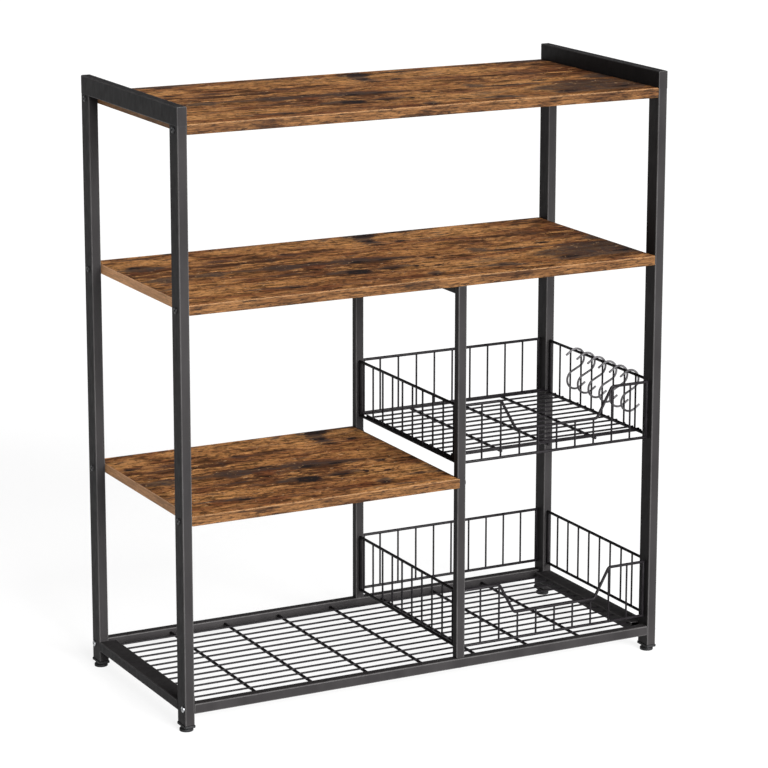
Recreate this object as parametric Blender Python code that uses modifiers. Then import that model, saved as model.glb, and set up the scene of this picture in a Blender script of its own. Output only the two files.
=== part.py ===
"""Kitchen shelf: a frame of steel tubes with three boards, a wire bottom grid and two wire baskets.

Metres, +Z up. The shelf stands on the plane z = 0, centred on the origin, and its front faces -Y.
The wire baskets are on the +X side, and six S-hooks hang on the upper basket's right rim.
"""
import math

import bmesh
import bpy
from mathutils import Matrix, Vector

# Overall size, over the posts
WIDTH = 0.800
DEPTH = 0.350
FRAME_TOP = 0.912

# Fits
SEAT_GAP = 0.0003
CUT_OVERRUN = 0.004
WELD_DISTANCE = 0.00001

# Steel tubes of the frame
POST_WIDTH = 0.015
POST_DEPTH = 0.028
TUBE_WALL = 0.0012
TUBE_CORNER = 0.0016
CORNER_STEPS = 2
TOP_BAR_HEIGHT = 0.028
RAIL_HEIGHT = 0.015
RAIL_DEPTH = 0.015
RAIL_UNDERSIDE = 0.0275
SIDE_RAIL_WIDTH = 0.028
MIDDLE_POST_WIDTH = 0.014
MIDDLE_POST_DEPTH = 0.013
MIDDLE_POST_X = 0.0535
MIDDLE_BAR_HEIGHT = 0.013

# Boards
BOARD_THICKNESS = 0.015
BOARD_EDGE_ROUND = 0.0008
BOARD_EDGE_STEPS = 2
TOP_BOARD_DROP = 0.025
MIDDLE_BOARD_TOP = 0.631
SHORT_BOARD_TOP = 0.324
SHORT_BOARD_LIP = 0.0028

# Levelling feet and the plugs in the post ends
PAD_DIAMETER = 0.0205
PAD_WAIST_DIAMETER = 0.0165
PAD_HEIGHT = 0.0068
PAD_BASE_HEIGHT = 0.0042
PAD_EDGE = 0.0008
STEM_DIAMETER = 0.006
STEM_LENGTH = 0.022
FOOT_STEPS = 12
FLANGE_THICKNESS = 0.0036
FLANGE_PROUD = 0.0010
PLUG_BODY_HEIGHT = 0.014

# Bolts
BOLT_DIAMETER = 0.006
BOLT_HEAD_DIAMETER = 0.0095
BOLT_HEAD_HEIGHT = 0.0016
BOLT_HEAD_FLAT_DIAMETER = 0.0062
BOLT_HEAD_RIM = 0.0006
BOLT_SOCKET_WIDTH = 0.0038
BOLT_SOCKET_DEPTH = 0.0011
BOLT_STEPS = 8
SOCKET_SIDES = 6
HOLE_STEPS = 8
SIDE_BOLT_BITE = 0.030
UPRIGHT_BOLT_BITE = 0.010
BOLT_TIP_CLEARANCE = 0.001
BOARD_BOLT_DROP = 0.0085
MIDDLE_BAR_BOLT_Y = 0.0735

# Wires
THICK_WIRE = 0.004
THIN_WIRE = 0.0025
WIRE_BEND = 0.006
BEND_STEPS = 3
WELD_SINK = 0.0006

# Bottom grid
GRID_WIRE_PITCH = 0.0225
GRID_BEARER_PITCH = 0.092

# Baskets
UPPER_RIM_HEIGHT = 0.4315
LOWER_RIM_HEIGHT = 0.144
FENCE_HEIGHT = 0.0875
FRONT_FENCE_INSET = 0.0125
FENCE_END_INSET = 0.0006
FRONT_FENCE_GAPS = 10
SIDE_FENCE_GAPS = 9
DIP_DEPTH = 0.0468
DIP_FLAT_LENGTH = 0.142
DIP_SLANT_RUN = 0.026
FLOOR_WIRE_PITCH = 0.0235
FLOOR_WIRE_COUNT = 13
FLOOR_SHIFT_BACK = 0.004
FLOOR_BEARER_COUNT = 3
FLOOR_BEARER_NOSE = 0.003
FLOOR_REAR_WIRE_STEP = 0.0065
FLOOR_FRONT_WIRE_STEP = 0.0040
FLOOR_REAR_WIRE_CLEAR = 0.002

# S-hooks
HOOK_COUNT = 6
HOOK_BOW_RADIUS = 0.0145
HOOK_HEIGHT = 0.0660
HOOK_WIRE = 0.0025
HOOK_TIP_ANGLE = math.radians(152.0)
HOOK_TIP_STEPS = 2
HOOK_BOW_STEPS = 6

# Finishes: colour, roughness and metallic value
FINISHES = {
    "black_powder_coat": ((0.052, 0.050, 0.051, 1.0), 0.48, 0.35),
    "rustic_board": ((0.235, 0.115, 0.045, 1.0), 0.55, 0.0),
    "black_wire_coat": ((0.030, 0.028, 0.030, 1.0), 0.40, 0.35),
    "black_plastic": ((0.018, 0.018, 0.019, 1.0), 0.55, 0.0),
    "bright_zinc": ((0.60, 0.60, 0.61, 1.0), 0.30, 1.0),
    "grey_hook_coat": ((0.110, 0.108, 0.112, 1.0), 0.32, 0.60),
}

# Places worked out from the sizes above
HALF_WIDTH = WIDTH / 2
HALF_DEPTH = DEPTH / 2
POST_X = HALF_WIDTH - POST_WIDTH / 2
POST_Y = HALF_DEPTH - POST_DEPTH / 2
POST_INNER_X = HALF_WIDTH - POST_WIDTH
POST_INNER_Y = HALF_DEPTH - POST_DEPTH
POST_BOTTOM = PAD_HEIGHT + FLANGE_THICKNESS + 2 * SEAT_GAP
TOP_BAR_BOTTOM = FRAME_TOP - TOP_BAR_HEIGHT
TOP_BOARD_TOP = FRAME_TOP - TOP_BOARD_DROP
RAIL_TOP = RAIL_UNDERSIDE + RAIL_HEIGHT
RAIL_MIDDLE = RAIL_UNDERSIDE + RAIL_HEIGHT / 2
RAIL_INNER_Y = HALF_DEPTH - RAIL_DEPTH
MIDDLE_POST_Y = RAIL_INNER_Y + MIDDLE_POST_DEPTH / 2
MIDDLE_POST_LEFT = MIDDLE_POST_X - MIDDLE_POST_WIDTH / 2
MIDDLE_POST_RIGHT = MIDDLE_POST_X + MIDDLE_POST_WIDTH / 2
MIDDLE_FRAME_TOP = MIDDLE_BOARD_TOP - BOARD_THICKNESS
SIDE_RAIL_INNER_X = HALF_WIDTH - SIDE_RAIL_WIDTH
BAY_CENTRE_X = (MIDDLE_POST_RIGHT + POST_INNER_X) / 2
BAY_WIDTH = POST_INNER_X - MIDDLE_POST_RIGHT
FRONT_FENCE_Y = HALF_DEPTH - FRONT_FENCE_INSET
SIDE_BAR_PITCH = 2 * POST_INNER_Y / SIDE_FENCE_GAPS
HOOK_AXIS_RISE = THICK_WIRE / 2 + SEAT_GAP + HOOK_WIRE / 2


# Clean start and collections
for old_object in list(bpy.data.objects):
    bpy.data.objects.remove(old_object, do_unlink=True)

parts = bpy.data.collections.new("kitchen_shelf")
cutters = bpy.data.collections.new("kitchen_shelf_cutters")
for group in (parts, cutters):
    bpy.context.scene.collection.children.link(group)


def make_finish(name):
    """Make the plain material of one finish."""
    colour, roughness, metallic = FINISHES[name]
    finish = bpy.data.materials.new(name)
    finish.use_nodes = True
    shader = finish.node_tree.nodes["Principled BSDF"]
    shader.inputs["Base Color"].default_value = colour
    shader.inputs["Roughness"].default_value = roughness
    shader.inputs["Metallic"].default_value = metallic
    finish.diffuse_color = colour
    return finish


finishes = {name: make_finish(name) for name in FINISHES}


def add_piece(name, mesh, finish, place, turn=(0.0, 0.0, 0.0), parent=None):
    """Add one sub-part to the shelf's collection. A shared mesh gets its finish once."""
    piece = bpy.data.objects.new(name, mesh)
    parts.objects.link(piece)
    if not mesh.materials:
        mesh.materials.append(finishes[finish])
    piece.location = place
    piece.rotation_euler = turn
    piece.parent = parent
    return piece


def add_cutter(name, mesh, place, turn=(0.0, 0.0, 0.0)):
    """Add a shape that only cuts. It is drawn as wires and isn't part of the shelf."""
    cutter = bpy.data.objects.new(name, mesh)
    cutters.objects.link(cutter)
    cutter.location = place
    cutter.rotation_euler = turn
    cutter.hide_render = True
    cutter.display_type = "WIRE"
    return cutter


def cut(piece, cutter):
    """Cut a piece with a cutter."""
    step = piece.modifiers.new("cut_" + cutter.name, "BOOLEAN")
    step.operation = "DIFFERENCE"
    step.solver = "EXACT"
    step.object = cutter


def settled_mesh(shape, name):
    """Give the evaluated mesh of a helper object, welded, and remove the helper."""
    depsgraph = bpy.context.evaluated_depsgraph_get()
    mesh = bpy.data.meshes.new_from_object(shape.evaluated_get(depsgraph), depsgraph=depsgraph)
    mesh.name = name
    work = bmesh.new()
    work.from_mesh(mesh)
    bmesh.ops.remove_doubles(work, verts=work.verts, dist=WELD_DISTANCE)
    bmesh.ops.recalc_face_normals(work, faces=work.faces)
    work.to_mesh(mesh)
    work.free()
    data = shape.data
    bpy.data.objects.remove(shape, do_unlink=True)
    if data.users == 0:
        (bpy.data.curves if isinstance(data, bpy.types.Curve) else bpy.data.meshes).remove(data)
    return mesh


def helper_object(name, data):
    """Put mesh or curve data in the scene for as long as it takes to evaluate it."""
    shape = bpy.data.objects.new(name, data)
    bpy.context.scene.collection.objects.link(shape)
    return shape


def box_mesh(name, size, edge=0.0, edge_steps=1):
    """A box of the given size round its own centre, with rounded edges if edge isn't zero."""
    mesh = bpy.data.meshes.new(name)
    work = bmesh.new()
    bmesh.ops.create_cube(work, size=1.0)
    bmesh.ops.scale(work, vec=size, verts=work.verts)
    if edge:
        bmesh.ops.bevel(work, geom=work.edges[:], offset=edge, segments=edge_steps,
                        profile=0.5, affect="EDGES", clamp_overlap=True)
    work.to_mesh(mesh)
    work.free()
    return mesh


def rod_mesh(name, diameter, length, sides):
    """A straight round rod along Z from its own origin."""
    mesh = bpy.data.meshes.new(name)
    work = bmesh.new()
    bmesh.ops.create_cone(work, cap_ends=True, segments=sides,
                          radius1=diameter / 2, radius2=diameter / 2, depth=length)
    bmesh.ops.translate(work, vec=(0.0, 0.0, length / 2), verts=work.verts)
    work.to_mesh(mesh)
    work.free()
    return mesh


def rounded_rectangle(width, depth, radius, steps):
    """Points of a rectangle round the origin, counter-clockwise, with its corners as arcs."""
    points = []
    for quarter, (side_x, side_y) in enumerate(((1, 1), (-1, 1), (-1, -1), (1, -1))):
        centre = Vector((side_x * (width / 2 - radius), side_y * (depth / 2 - radius), 0.0))
        for step in range(steps + 1):
            angle = math.pi / 2 * (quarter + step / steps)
            points.append(centre + radius * Vector((math.cos(angle), math.sin(angle), 0.0)))
    return points


def prism_mesh(name, outline, length):
    """A flat outline drawn out along Z, half to each side of its own origin."""
    curve = bpy.data.curves.new(name, "CURVE")
    curve.dimensions = "2D"
    curve.fill_mode = "BOTH"
    curve.extrude = length / 2
    spline = curve.splines.new("POLY")
    spline.points.add(len(outline) - 1)
    for point, place in zip(spline.points, outline):
        point.co = (place.x, place.y, 0.0, 1.0)
    spline.use_cyclic_u = True
    return settled_mesh(helper_object(name, curve), name)


def turned_mesh(name, profile, steps):
    """Turn a profile of (radius, height) pairs, top to bottom, about the Z axis."""
    mesh = bpy.data.meshes.new(name)
    rows = [(radius, 0.0, height) for radius, height in profile]
    mesh.from_pydata(rows, [(row, row + 1) for row in range(len(rows) - 1)], [])
    shape = helper_object(name, mesh)
    turn = shape.modifiers.new("turn", "SCREW")
    turn.axis = "Z"
    turn.steps = steps
    turn.render_steps = steps
    turn.use_merge_vertices = True
    turn.merge_threshold = WELD_DISTANCE
    return settled_mesh(shape, name)


def bent_path(corners, radius, steps):
    """Points along straight runs whose inner corners are rounded to arcs of one radius."""
    points = [corners[0]]
    for before, corner, after in zip(corners, corners[1:], corners[2:]):
        to_start = (before - corner).normalized()
        to_end = (after - corner).normalized()
        half_angle = to_start.angle(to_end) / 2
        centre = corner + (to_start + to_end).normalized() * radius / math.sin(half_angle)
        first = corner + to_start * radius / math.tan(half_angle) - centre
        last = corner + to_end * radius / math.tan(half_angle) - centre
        for step in range(steps + 1):
            points.append(centre + radius * first.slerp(last, step / steps))
    points.append(corners[-1])
    return points


def wire_mesh(name, paths, diameter):
    """One mesh of separate wires, each a six-sided rod along its own path."""
    curve = bpy.data.curves.new(name, "CURVE")
    curve.dimensions = "3D"
    curve.bevel_depth = diameter / 2
    curve.bevel_resolution = 1
    curve.use_fill_caps = True
    for path in paths:
        spline = curve.splines.new("POLY")
        spline.points.add(len(path) - 1)
        for point, place in zip(spline.points, path):
            point.co = (*place, 1.0)
    return settled_mesh(helper_object(name, curve), name)


def welded_mesh(name, first, others):
    """Weld crossing wires into one body: each mesh in others joins the first by a union."""
    body = helper_object(name, first)
    guests = [helper_object(name + "_weld", mesh) for mesh in others]
    for guest in guests:
        step = body.modifiers.new("weld", "BOOLEAN")
        step.operation = "UNION"
        step.solver = "EXACT"
        step.object = guest
    mesh = settled_mesh(body, name)
    for guest in guests:
        data = guest.data
        bpy.data.objects.remove(guest, do_unlink=True)
        bpy.data.meshes.remove(data)
    return mesh


def shade_round(mesh, sharp_angle=math.radians(40.0)):
    """Shade a round piece smooth and keep its real edges sharp."""
    mesh.shade_smooth()
    mesh.set_sharp_from_angle(angle=sharp_angle)


# Turns that lay a Z-long shape along another axis
ALONG_X = (0.0, math.pi / 2, 0.0)
ALONG_Y = (math.pi / 2, 0.0, 0.0)
UPRIGHT = (0.0, 0.0, 0.0)


def add_tube(name, across, length, place, turn, end_wall=0.0):
    """A tube with rounded corners. With an end wall it is closed by a welded plate at both ends."""
    width, depth = across
    outline = rounded_rectangle(width, depth, TUBE_CORNER, CORNER_STEPS)
    tube = add_piece(name, prism_mesh(name, outline, length), "black_powder_coat", place, turn)
    hollow_length = length - 2 * end_wall if end_wall else length + 2 * CUT_OVERRUN
    hollow_size = (width - 2 * TUBE_WALL, depth - 2 * TUBE_WALL, hollow_length)
    hollow = add_cutter(name + "_hollow", box_mesh(name + "_hollow", hollow_size), place, turn)
    cut(tube, hollow)
    return tube


# Posts and top bars
posts = {}
for side, side_name in ((-1, "left"), (1, "right")):
    for end, end_name in ((-1, "front"), (1, "rear")):
        post_length = TOP_BAR_BOTTOM - SEAT_GAP - POST_BOTTOM
        posts[side, end] = add_tube(
            f"post_{side_name}_{end_name}", (POST_WIDTH, POST_DEPTH), post_length,
            (side * POST_X, end * POST_Y, POST_BOTTOM + post_length / 2), UPRIGHT)

for side, side_name in ((-1, "left"), (1, "right")):
    bar_middle = TOP_BAR_BOTTOM + TOP_BAR_HEIGHT / 2
    bar = add_tube(f"top_bar_{side_name}", (POST_WIDTH, TOP_BAR_HEIGHT), DEPTH,
                   (side * POST_X, 0.0, bar_middle), ALONG_Y, end_wall=TUBE_WALL)
    for end, end_name in ((-1, "front"), (1, "rear")):
        vent_size = (POST_WIDTH - 2 * TUBE_WALL - 2 * TUBE_CORNER,
                     POST_DEPTH - 2 * TUBE_WALL - 2 * TUBE_CORNER,
                     TUBE_WALL + CUT_OVERRUN)
        vent = add_cutter(f"top_bar_{side_name}_{end_name}_vent",
                          box_mesh(f"top_bar_{side_name}_{end_name}_vent", vent_size),
                          (side * POST_X, end * POST_Y, TOP_BAR_BOTTOM))
        cut(bar, vent)

# Bottom rails
rails = {}
for end, end_name in ((-1, "front"), (1, "rear")):
    rails[end] = add_tube(f"rail_{end_name}", (RAIL_HEIGHT, RAIL_DEPTH), 2 * (POST_INNER_X - SEAT_GAP),
                          (0.0, end * (HALF_DEPTH - RAIL_DEPTH / 2), RAIL_MIDDLE), ALONG_X,
                          end_wall=TUBE_WALL)
for side, side_name in ((-1, "left"), (1, "right")):
    add_tube(f"rail_{side_name}", (SIDE_RAIL_WIDTH, RAIL_HEIGHT), 2 * (POST_INNER_Y - SEAT_GAP),
             (side * (HALF_WIDTH - SIDE_RAIL_WIDTH / 2), 0.0, RAIL_MIDDLE), ALONG_Y)

# Middle frame between the bottom rails and the middle board
middle_posts = {}
for end, end_name in ((-1, "front"), (1, "rear")):
    post_length = MIDDLE_FRAME_TOP - RAIL_TOP - 2 * SEAT_GAP
    middle_posts[end] = add_tube(
        f"middle_post_{end_name}", (MIDDLE_POST_WIDTH, MIDDLE_POST_DEPTH), post_length,
        (MIDDLE_POST_X, end * MIDDLE_POST_Y, RAIL_TOP + SEAT_GAP + post_length / 2), UPRIGHT,
        end_wall=TUBE_WALL)
middle_bar = add_tube(
    "middle_top_bar", (MIDDLE_POST_WIDTH, MIDDLE_BAR_HEIGHT), 2 * (RAIL_INNER_Y - SEAT_GAP),
    (MIDDLE_POST_X, 0.0, MIDDLE_FRAME_TOP - SEAT_GAP - MIDDLE_BAR_HEIGHT / 2), ALONG_Y)


def board_mesh(name, outline):
    """A board: its outline drawn out to the board's thickness, with softened edges."""
    return prism_mesh(name, [Vector((x, y, 0.0)) for x, y in outline], BOARD_THICKNESS)


def soften_edges(board):
    """Round the long edges of a board a little."""
    bevel = board.modifiers.new("soft_edges", "BEVEL")
    bevel.width = BOARD_EDGE_ROUND
    bevel.segments = BOARD_EDGE_STEPS
    bevel.limit_method = "ANGLE"


# Boards
board_end_x = POST_INNER_X - SEAT_GAP
long_outline = [(-board_end_x, -HALF_DEPTH), (board_end_x, -HALF_DEPTH),
                (board_end_x, HALF_DEPTH), (-board_end_x, HALF_DEPTH)]
long_board = board_mesh("long_board", long_outline)
lip_x = MIDDLE_POST_LEFT + SHORT_BOARD_LIP
notch_x = MIDDLE_POST_LEFT - SEAT_GAP
notch_outer_y = MIDDLE_POST_Y + MIDDLE_POST_DEPTH / 2 + SEAT_GAP
notch_inner_y = MIDDLE_POST_Y - MIDDLE_POST_DEPTH / 2 - SEAT_GAP
short_outline = [(-board_end_x, -HALF_DEPTH), (lip_x, -HALF_DEPTH), (lip_x, -notch_outer_y),
                 (notch_x, -notch_outer_y), (notch_x, -notch_inner_y), (lip_x, -notch_inner_y),
                 (lip_x, notch_inner_y), (notch_x, notch_inner_y), (notch_x, notch_outer_y),
                 (lip_x, notch_outer_y), (lip_x, HALF_DEPTH), (-board_end_x, HALF_DEPTH)]
boards = {}
for board_name, mesh, top in (
        ("board_top", long_board, TOP_BOARD_TOP),
        ("board_middle", long_board, MIDDLE_BOARD_TOP),
        ("board_short", board_mesh("short_board", short_outline), SHORT_BOARD_TOP)):
    boards[board_name] = add_piece(board_name, mesh, "rustic_board",
                                   (0.0, 0.0, top - BOARD_THICKNESS / 2))
    soften_edges(boards[board_name])


def bolt_mesh(name, length):
    """A button-head bolt along -Z: its head's underside is at z = 0, with a six-sided socket."""
    head = BOLT_HEAD_DIAMETER / 2
    shank = BOLT_DIAMETER / 2
    profile = [(0.0, BOLT_HEAD_HEIGHT), (BOLT_HEAD_FLAT_DIAMETER / 2, BOLT_HEAD_HEIGHT),
               (head, BOLT_HEAD_RIM), (head, 0.0), (shank, 0.0), (shank, -length), (0.0, -length)]
    bolt = helper_object(name, turned_mesh(name, profile, BOLT_STEPS))
    socket_length = BOLT_SOCKET_DEPTH + CUT_OVERRUN
    socket = helper_object(name + "_socket",
                           rod_mesh(name + "_socket", BOLT_SOCKET_WIDTH, socket_length, SOCKET_SIDES))
    socket.location.z = BOLT_HEAD_HEIGHT - BOLT_SOCKET_DEPTH
    cut(bolt, socket)
    mesh = settled_mesh(bolt, name)
    bpy.data.objects.remove(socket, do_unlink=True)
    return mesh


# Shank lengths: through the tube and on into what it holds
side_length = POST_WIDTH + SIDE_BOLT_BITE
middle_length = MIDDLE_POST_WIDTH + SIDE_BOLT_BITE
upright_length = RAIL_HEIGHT + UPRIGHT_BOLT_BITE
bar_length = MIDDLE_BAR_HEIGHT + UPRIGHT_BOLT_BITE
board_bolt = bolt_mesh("board_bolt", side_length)
rail_bolt = bolt_mesh("rail_bolt", side_length)
middle_bolt = bolt_mesh("middle_bolt", middle_length)
upright_bolt = bolt_mesh("upright_bolt", upright_length)
bar_bolt = bolt_mesh("bar_bolt", bar_length)

# A bolt along -Z is turned so that it runs inwards from the face that its head lies on
FROM_LEFT = (0.0, -math.pi / 2, 0.0)
FROM_RIGHT = (0.0, math.pi / 2, 0.0)
FROM_BELOW = (math.pi, 0.0, 0.0)


def add_bolt(name, mesh, length, finish, place, turn, held):
    """Add a bolt, its head one gap off the face, and its hole in each piece that it holds."""
    bolt = add_piece(name, mesh, finish, place, turn)
    outwards = bolt.rotation_euler.to_matrix() @ Vector((0.0, 0.0, 1.0))
    bolt.location += outwards * SEAT_GAP
    hole_length = length + BOLT_TIP_CLEARANCE
    hole = add_cutter(name + "_hole",
                      rod_mesh(name + "_hole", BOLT_DIAMETER + 2 * SEAT_GAP, hole_length + CUT_OVERRUN,
                               HOLE_STEPS),
                      Vector(place) - outwards * hole_length, turn)
    for piece in held:
        cut(piece, hole)


for side, side_name, turn in ((-1, "left", FROM_LEFT), (1, "right", FROM_RIGHT)):
    for end, end_name in ((-1, "front"), (1, "rear")):
        for board_name, top in (("board_top", TOP_BOARD_TOP), ("board_middle", MIDDLE_BOARD_TOP),
                                ("board_short", SHORT_BOARD_TOP)):
            if board_name == "board_short" and side_name == "right":
                continue
            add_bolt(f"bolt_{board_name}_{side_name}_{end_name}", board_bolt, side_length,
                     "black_powder_coat", (side * HALF_WIDTH, end * POST_Y, top - BOARD_BOLT_DROP),
                     turn, (posts[side, end], boards[board_name]))
        add_bolt(f"bolt_rail_{side_name}_{end_name}", rail_bolt, side_length, "bright_zinc",
                 (side * HALF_WIDTH, end * (HALF_DEPTH - RAIL_DEPTH / 2), RAIL_MIDDLE), turn,
                 (posts[side, end], rails[end]))

for end, end_name in ((-1, "front"), (1, "rear")):
    add_bolt(f"bolt_board_short_middle_{end_name}", middle_bolt, middle_length, "black_powder_coat",
             (MIDDLE_POST_RIGHT, end * MIDDLE_POST_Y, SHORT_BOARD_TOP - BOARD_BOLT_DROP),
             FROM_RIGHT, (middle_posts[end], boards["board_short"]))
    add_bolt(f"bolt_middle_post_{end_name}", upright_bolt, upright_length, "bright_zinc",
             (MIDDLE_POST_X, end * MIDDLE_POST_Y, RAIL_UNDERSIDE), FROM_BELOW,
             (rails[end], middle_posts[end]))
    add_bolt(f"bolt_middle_bar_{end_name}", bar_bolt, bar_length, "black_powder_coat",
             (MIDDLE_POST_X, end * MIDDLE_BAR_BOLT_Y, MIDDLE_FRAME_TOP - SEAT_GAP - MIDDLE_BAR_HEIGHT),
             FROM_BELOW, (middle_bar, boards["board_middle"]))

# Plugs and levelling feet
stem_hole = STEM_DIAMETER + 2 * SEAT_GAP
flange_size = (POST_WIDTH + 2 * FLANGE_PROUD, POST_DEPTH + 2 * FLANGE_PROUD, FLANGE_THICKNESS)
plug_inset = 2 * TUBE_WALL + 2 * SEAT_GAP
plug_size = (POST_WIDTH - plug_inset, POST_DEPTH - plug_inset,
             PLUG_BODY_HEIGHT + SEAT_GAP + FLANGE_THICKNESS / 2)
flange_part = box_mesh("plug", flange_size, FLANGE_PROUD / 2)
plug_part = box_mesh("plug_body", plug_size)
plug_part.transform(Matrix.Translation((0.0, 0.0, plug_size[2] / 2)))
plug_blank = helper_object("plug_blank", welded_mesh("plug", flange_part, [plug_part]))
plug_bore = helper_object("plug_bore", rod_mesh("plug_bore", stem_hole, STEM_LENGTH + CUT_OVERRUN,
                                                HOLE_STEPS))
plug_bore.location.z = -CUT_OVERRUN
cut(plug_blank, plug_bore)
plug = settled_mesh(plug_blank, "plug")
bpy.data.objects.remove(plug_bore, do_unlink=True)

pad = PAD_DIAMETER / 2
waist = PAD_WAIST_DIAMETER / 2
stem = STEM_DIAMETER / 2
foot_profile = [(0.0, PAD_HEIGHT + STEM_LENGTH), (stem, PAD_HEIGHT + STEM_LENGTH), (stem, PAD_HEIGHT),
                (waist, PAD_HEIGHT), (waist, PAD_BASE_HEIGHT + PAD_EDGE),
                (pad - PAD_EDGE, PAD_BASE_HEIGHT), (pad, PAD_BASE_HEIGHT - PAD_EDGE),
                (pad, PAD_EDGE), (pad - PAD_EDGE, 0.0), (0.0, 0.0)]
foot = turned_mesh("foot", foot_profile, FOOT_STEPS)
shade_round(foot)
for side, side_name in ((-1, "left"), (1, "right")):
    for end, end_name in ((-1, "front"), (1, "rear")):
        corner = (side * POST_X, end * POST_Y)
        add_piece(f"plug_{side_name}_{end_name}", plug, "black_plastic",
                  (*corner, PAD_HEIGHT + SEAT_GAP + FLANGE_THICKNESS / 2))
        add_piece(f"foot_{side_name}_{end_name}", foot, "black_plastic", (*corner, 0.0))


def rod_path(start, end):
    """The path of a straight wire."""
    return [Vector(start), Vector(end)]


def centred_places(count, pitch):
    """Places of a row of copies round zero."""
    return [(index - (count - 1) / 2) * pitch for index in range(count)]


def odd_count(half_gap, pitch):
    """How many wires of one pitch fit with one on the centre line and half a pitch clear at the ends."""
    return 2 * int((half_gap - pitch / 2) / pitch) + 1


# Bottom grid: thin wires along X, welded on thicker bearers that run front to rear
grid_half_x = SIDE_RAIL_INNER_X - SEAT_GAP
grid_half_y = RAIL_INNER_Y - SEAT_GAP
grid_wire_rise = THICK_WIRE / 2 + THIN_WIRE / 2 - WELD_SINK
grid_wires = [rod_path((-grid_half_x, y, grid_wire_rise), (grid_half_x, y, grid_wire_rise))
              for y in centred_places(odd_count(RAIL_INNER_Y, GRID_WIRE_PITCH), GRID_WIRE_PITCH)]
grid_bearers = [rod_path((x, -grid_half_y, 0.0), (x, grid_half_y, 0.0))
                for x in centred_places(odd_count(SIDE_RAIL_INNER_X, GRID_BEARER_PITCH), GRID_BEARER_PITCH)]
grid = welded_mesh("bottom_grid", wire_mesh("grid_wires", grid_wires, THIN_WIRE),
                   [wire_mesh("grid_bearers", grid_bearers, THICK_WIRE)])
add_piece("bottom_grid", grid, "black_wire_coat", (0.0, 0.0, RAIL_MIDDLE))


def fence_mesh(name, length, bar_pitch, bar_count, dipped=False):
    """A basket's side in its own XZ plane: rim, foot wire, end wires and thinner bars between them.

    The origin is in the middle of the foot wire. A dipped fence has a low reach in its rim.
    """
    half = length / 2
    flat = DIP_FLAT_LENGTH / 2
    shoulder = flat + DIP_SLANT_RUN
    low = FENCE_HEIGHT - DIP_DEPTH
    rim = rod_path((-half, 0.0, FENCE_HEIGHT), (half, 0.0, FENCE_HEIGHT))
    if dipped:
        corners = [(-half, FENCE_HEIGHT), (-shoulder, FENCE_HEIGHT), (-flat, low),
                   (flat, low), (shoulder, FENCE_HEIGHT), (half, FENCE_HEIGHT)]
        rim = bent_path([Vector((x, 0.0, z)) for x, z in corners], WIRE_BEND, BEND_STEPS)
    bars = []
    for x in centred_places(bar_count, bar_pitch):
        bar_top = FENCE_HEIGHT
        if dipped and abs(x) < shoulder:
            bar_top = max(low, low + (abs(x) - flat) / DIP_SLANT_RUN * DIP_DEPTH)
        bars.append(rod_path((x, 0.0, 0.0), (x, 0.0, bar_top)))
    foot_wire = rod_path((-half, 0.0, 0.0), (half, 0.0, 0.0))
    end_x = half - THICK_WIRE / 2 - FENCE_END_INSET
    ends = [rod_path((x, 0.0, 0.0), (x, 0.0, FENCE_HEIGHT)) for x in (-end_x, end_x)]
    return welded_mesh(name, wire_mesh(name + "_frame", [rim, foot_wire], THICK_WIRE),
                       [wire_mesh(name + "_ends", ends, THICK_WIRE),
                        wire_mesh(name + "_bars", bars, THIN_WIRE)])


# Baskets: four fences each, between the posts round the right-hand bay
long_fence_length = BAY_WIDTH - 2 * SEAT_GAP
front_bar_pitch = BAY_WIDTH / FRONT_FENCE_GAPS
fences = {
    "front": fence_mesh("front_fence", long_fence_length, front_bar_pitch, FRONT_FENCE_GAPS - 1, True),
    "rear": fence_mesh("rear_fence", long_fence_length, front_bar_pitch, FRONT_FENCE_GAPS - 1),
    "left": fence_mesh("left_fence", 2 * (RAIL_INNER_Y - SEAT_GAP), SIDE_BAR_PITCH, SIDE_FENCE_GAPS + 1),
    "right": fence_mesh("right_fence", 2 * (POST_INNER_Y - SEAT_GAP), SIDE_BAR_PITCH,
                        SIDE_FENCE_GAPS - 1),
}
fence_places = {
    "front": ((0.0, -FRONT_FENCE_Y, 0.0), 0.0),
    "rear": ((0.0, MIDDLE_POST_Y, 0.0), 0.0),
    "left": ((MIDDLE_POST_X - BAY_CENTRE_X, 0.0, 0.0), math.pi / 2),
    "right": ((POST_X - BAY_CENTRE_X, 0.0, 0.0), math.pi / 2),
}
basket_centres = {}
for basket_name, rim_height in (("upper", UPPER_RIM_HEIGHT), ("lower", LOWER_RIM_HEIGHT)):
    centre = bpy.data.objects.new(f"{basket_name}_basket_centre", None)
    parts.objects.link(centre)
    centre.location = (BAY_CENTRE_X, 0.0, rim_height - FENCE_HEIGHT)
    basket_centres[basket_name] = centre
    for fence_side, mesh in fences.items():
        place, turn = fence_places[fence_side]
        add_piece(f"{basket_name}_fence_{fence_side}", mesh, "black_wire_coat", place,
                  (0.0, 0.0, turn), centre)

# Floor of the upper basket: its side wires lie on the foot wires of the left and right fences,
# against their bars, and stop short of the right fence's end wires
side_wire_inset = THICK_WIRE / 2 + THIN_WIRE / 2 + SEAT_GAP
side_wire_rise = math.sqrt((THICK_WIRE + SEAT_GAP) ** 2 - side_wire_inset ** 2)
floor_wire_rise = side_wire_rise + THICK_WIRE / 2 + THIN_WIRE / 2 - WELD_SINK
cross_wire_rise = side_wire_rise + THICK_WIRE - WELD_SINK
left_wire_x = MIDDLE_POST_X + side_wire_inset - BAY_CENTRE_X
right_wire_x = POST_X - side_wire_inset - BAY_CENTRE_X
floor_ys = [y + FLOOR_SHIFT_BACK for y in centred_places(FLOOR_WIRE_COUNT, FLOOR_WIRE_PITCH)]
thin_wires = [rod_path((left_wire_x - THIN_WIRE / 2, y, floor_wire_rise),
                       (right_wire_x + THIN_WIRE / 2, y, floor_wire_rise)) for y in floor_ys]
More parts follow.
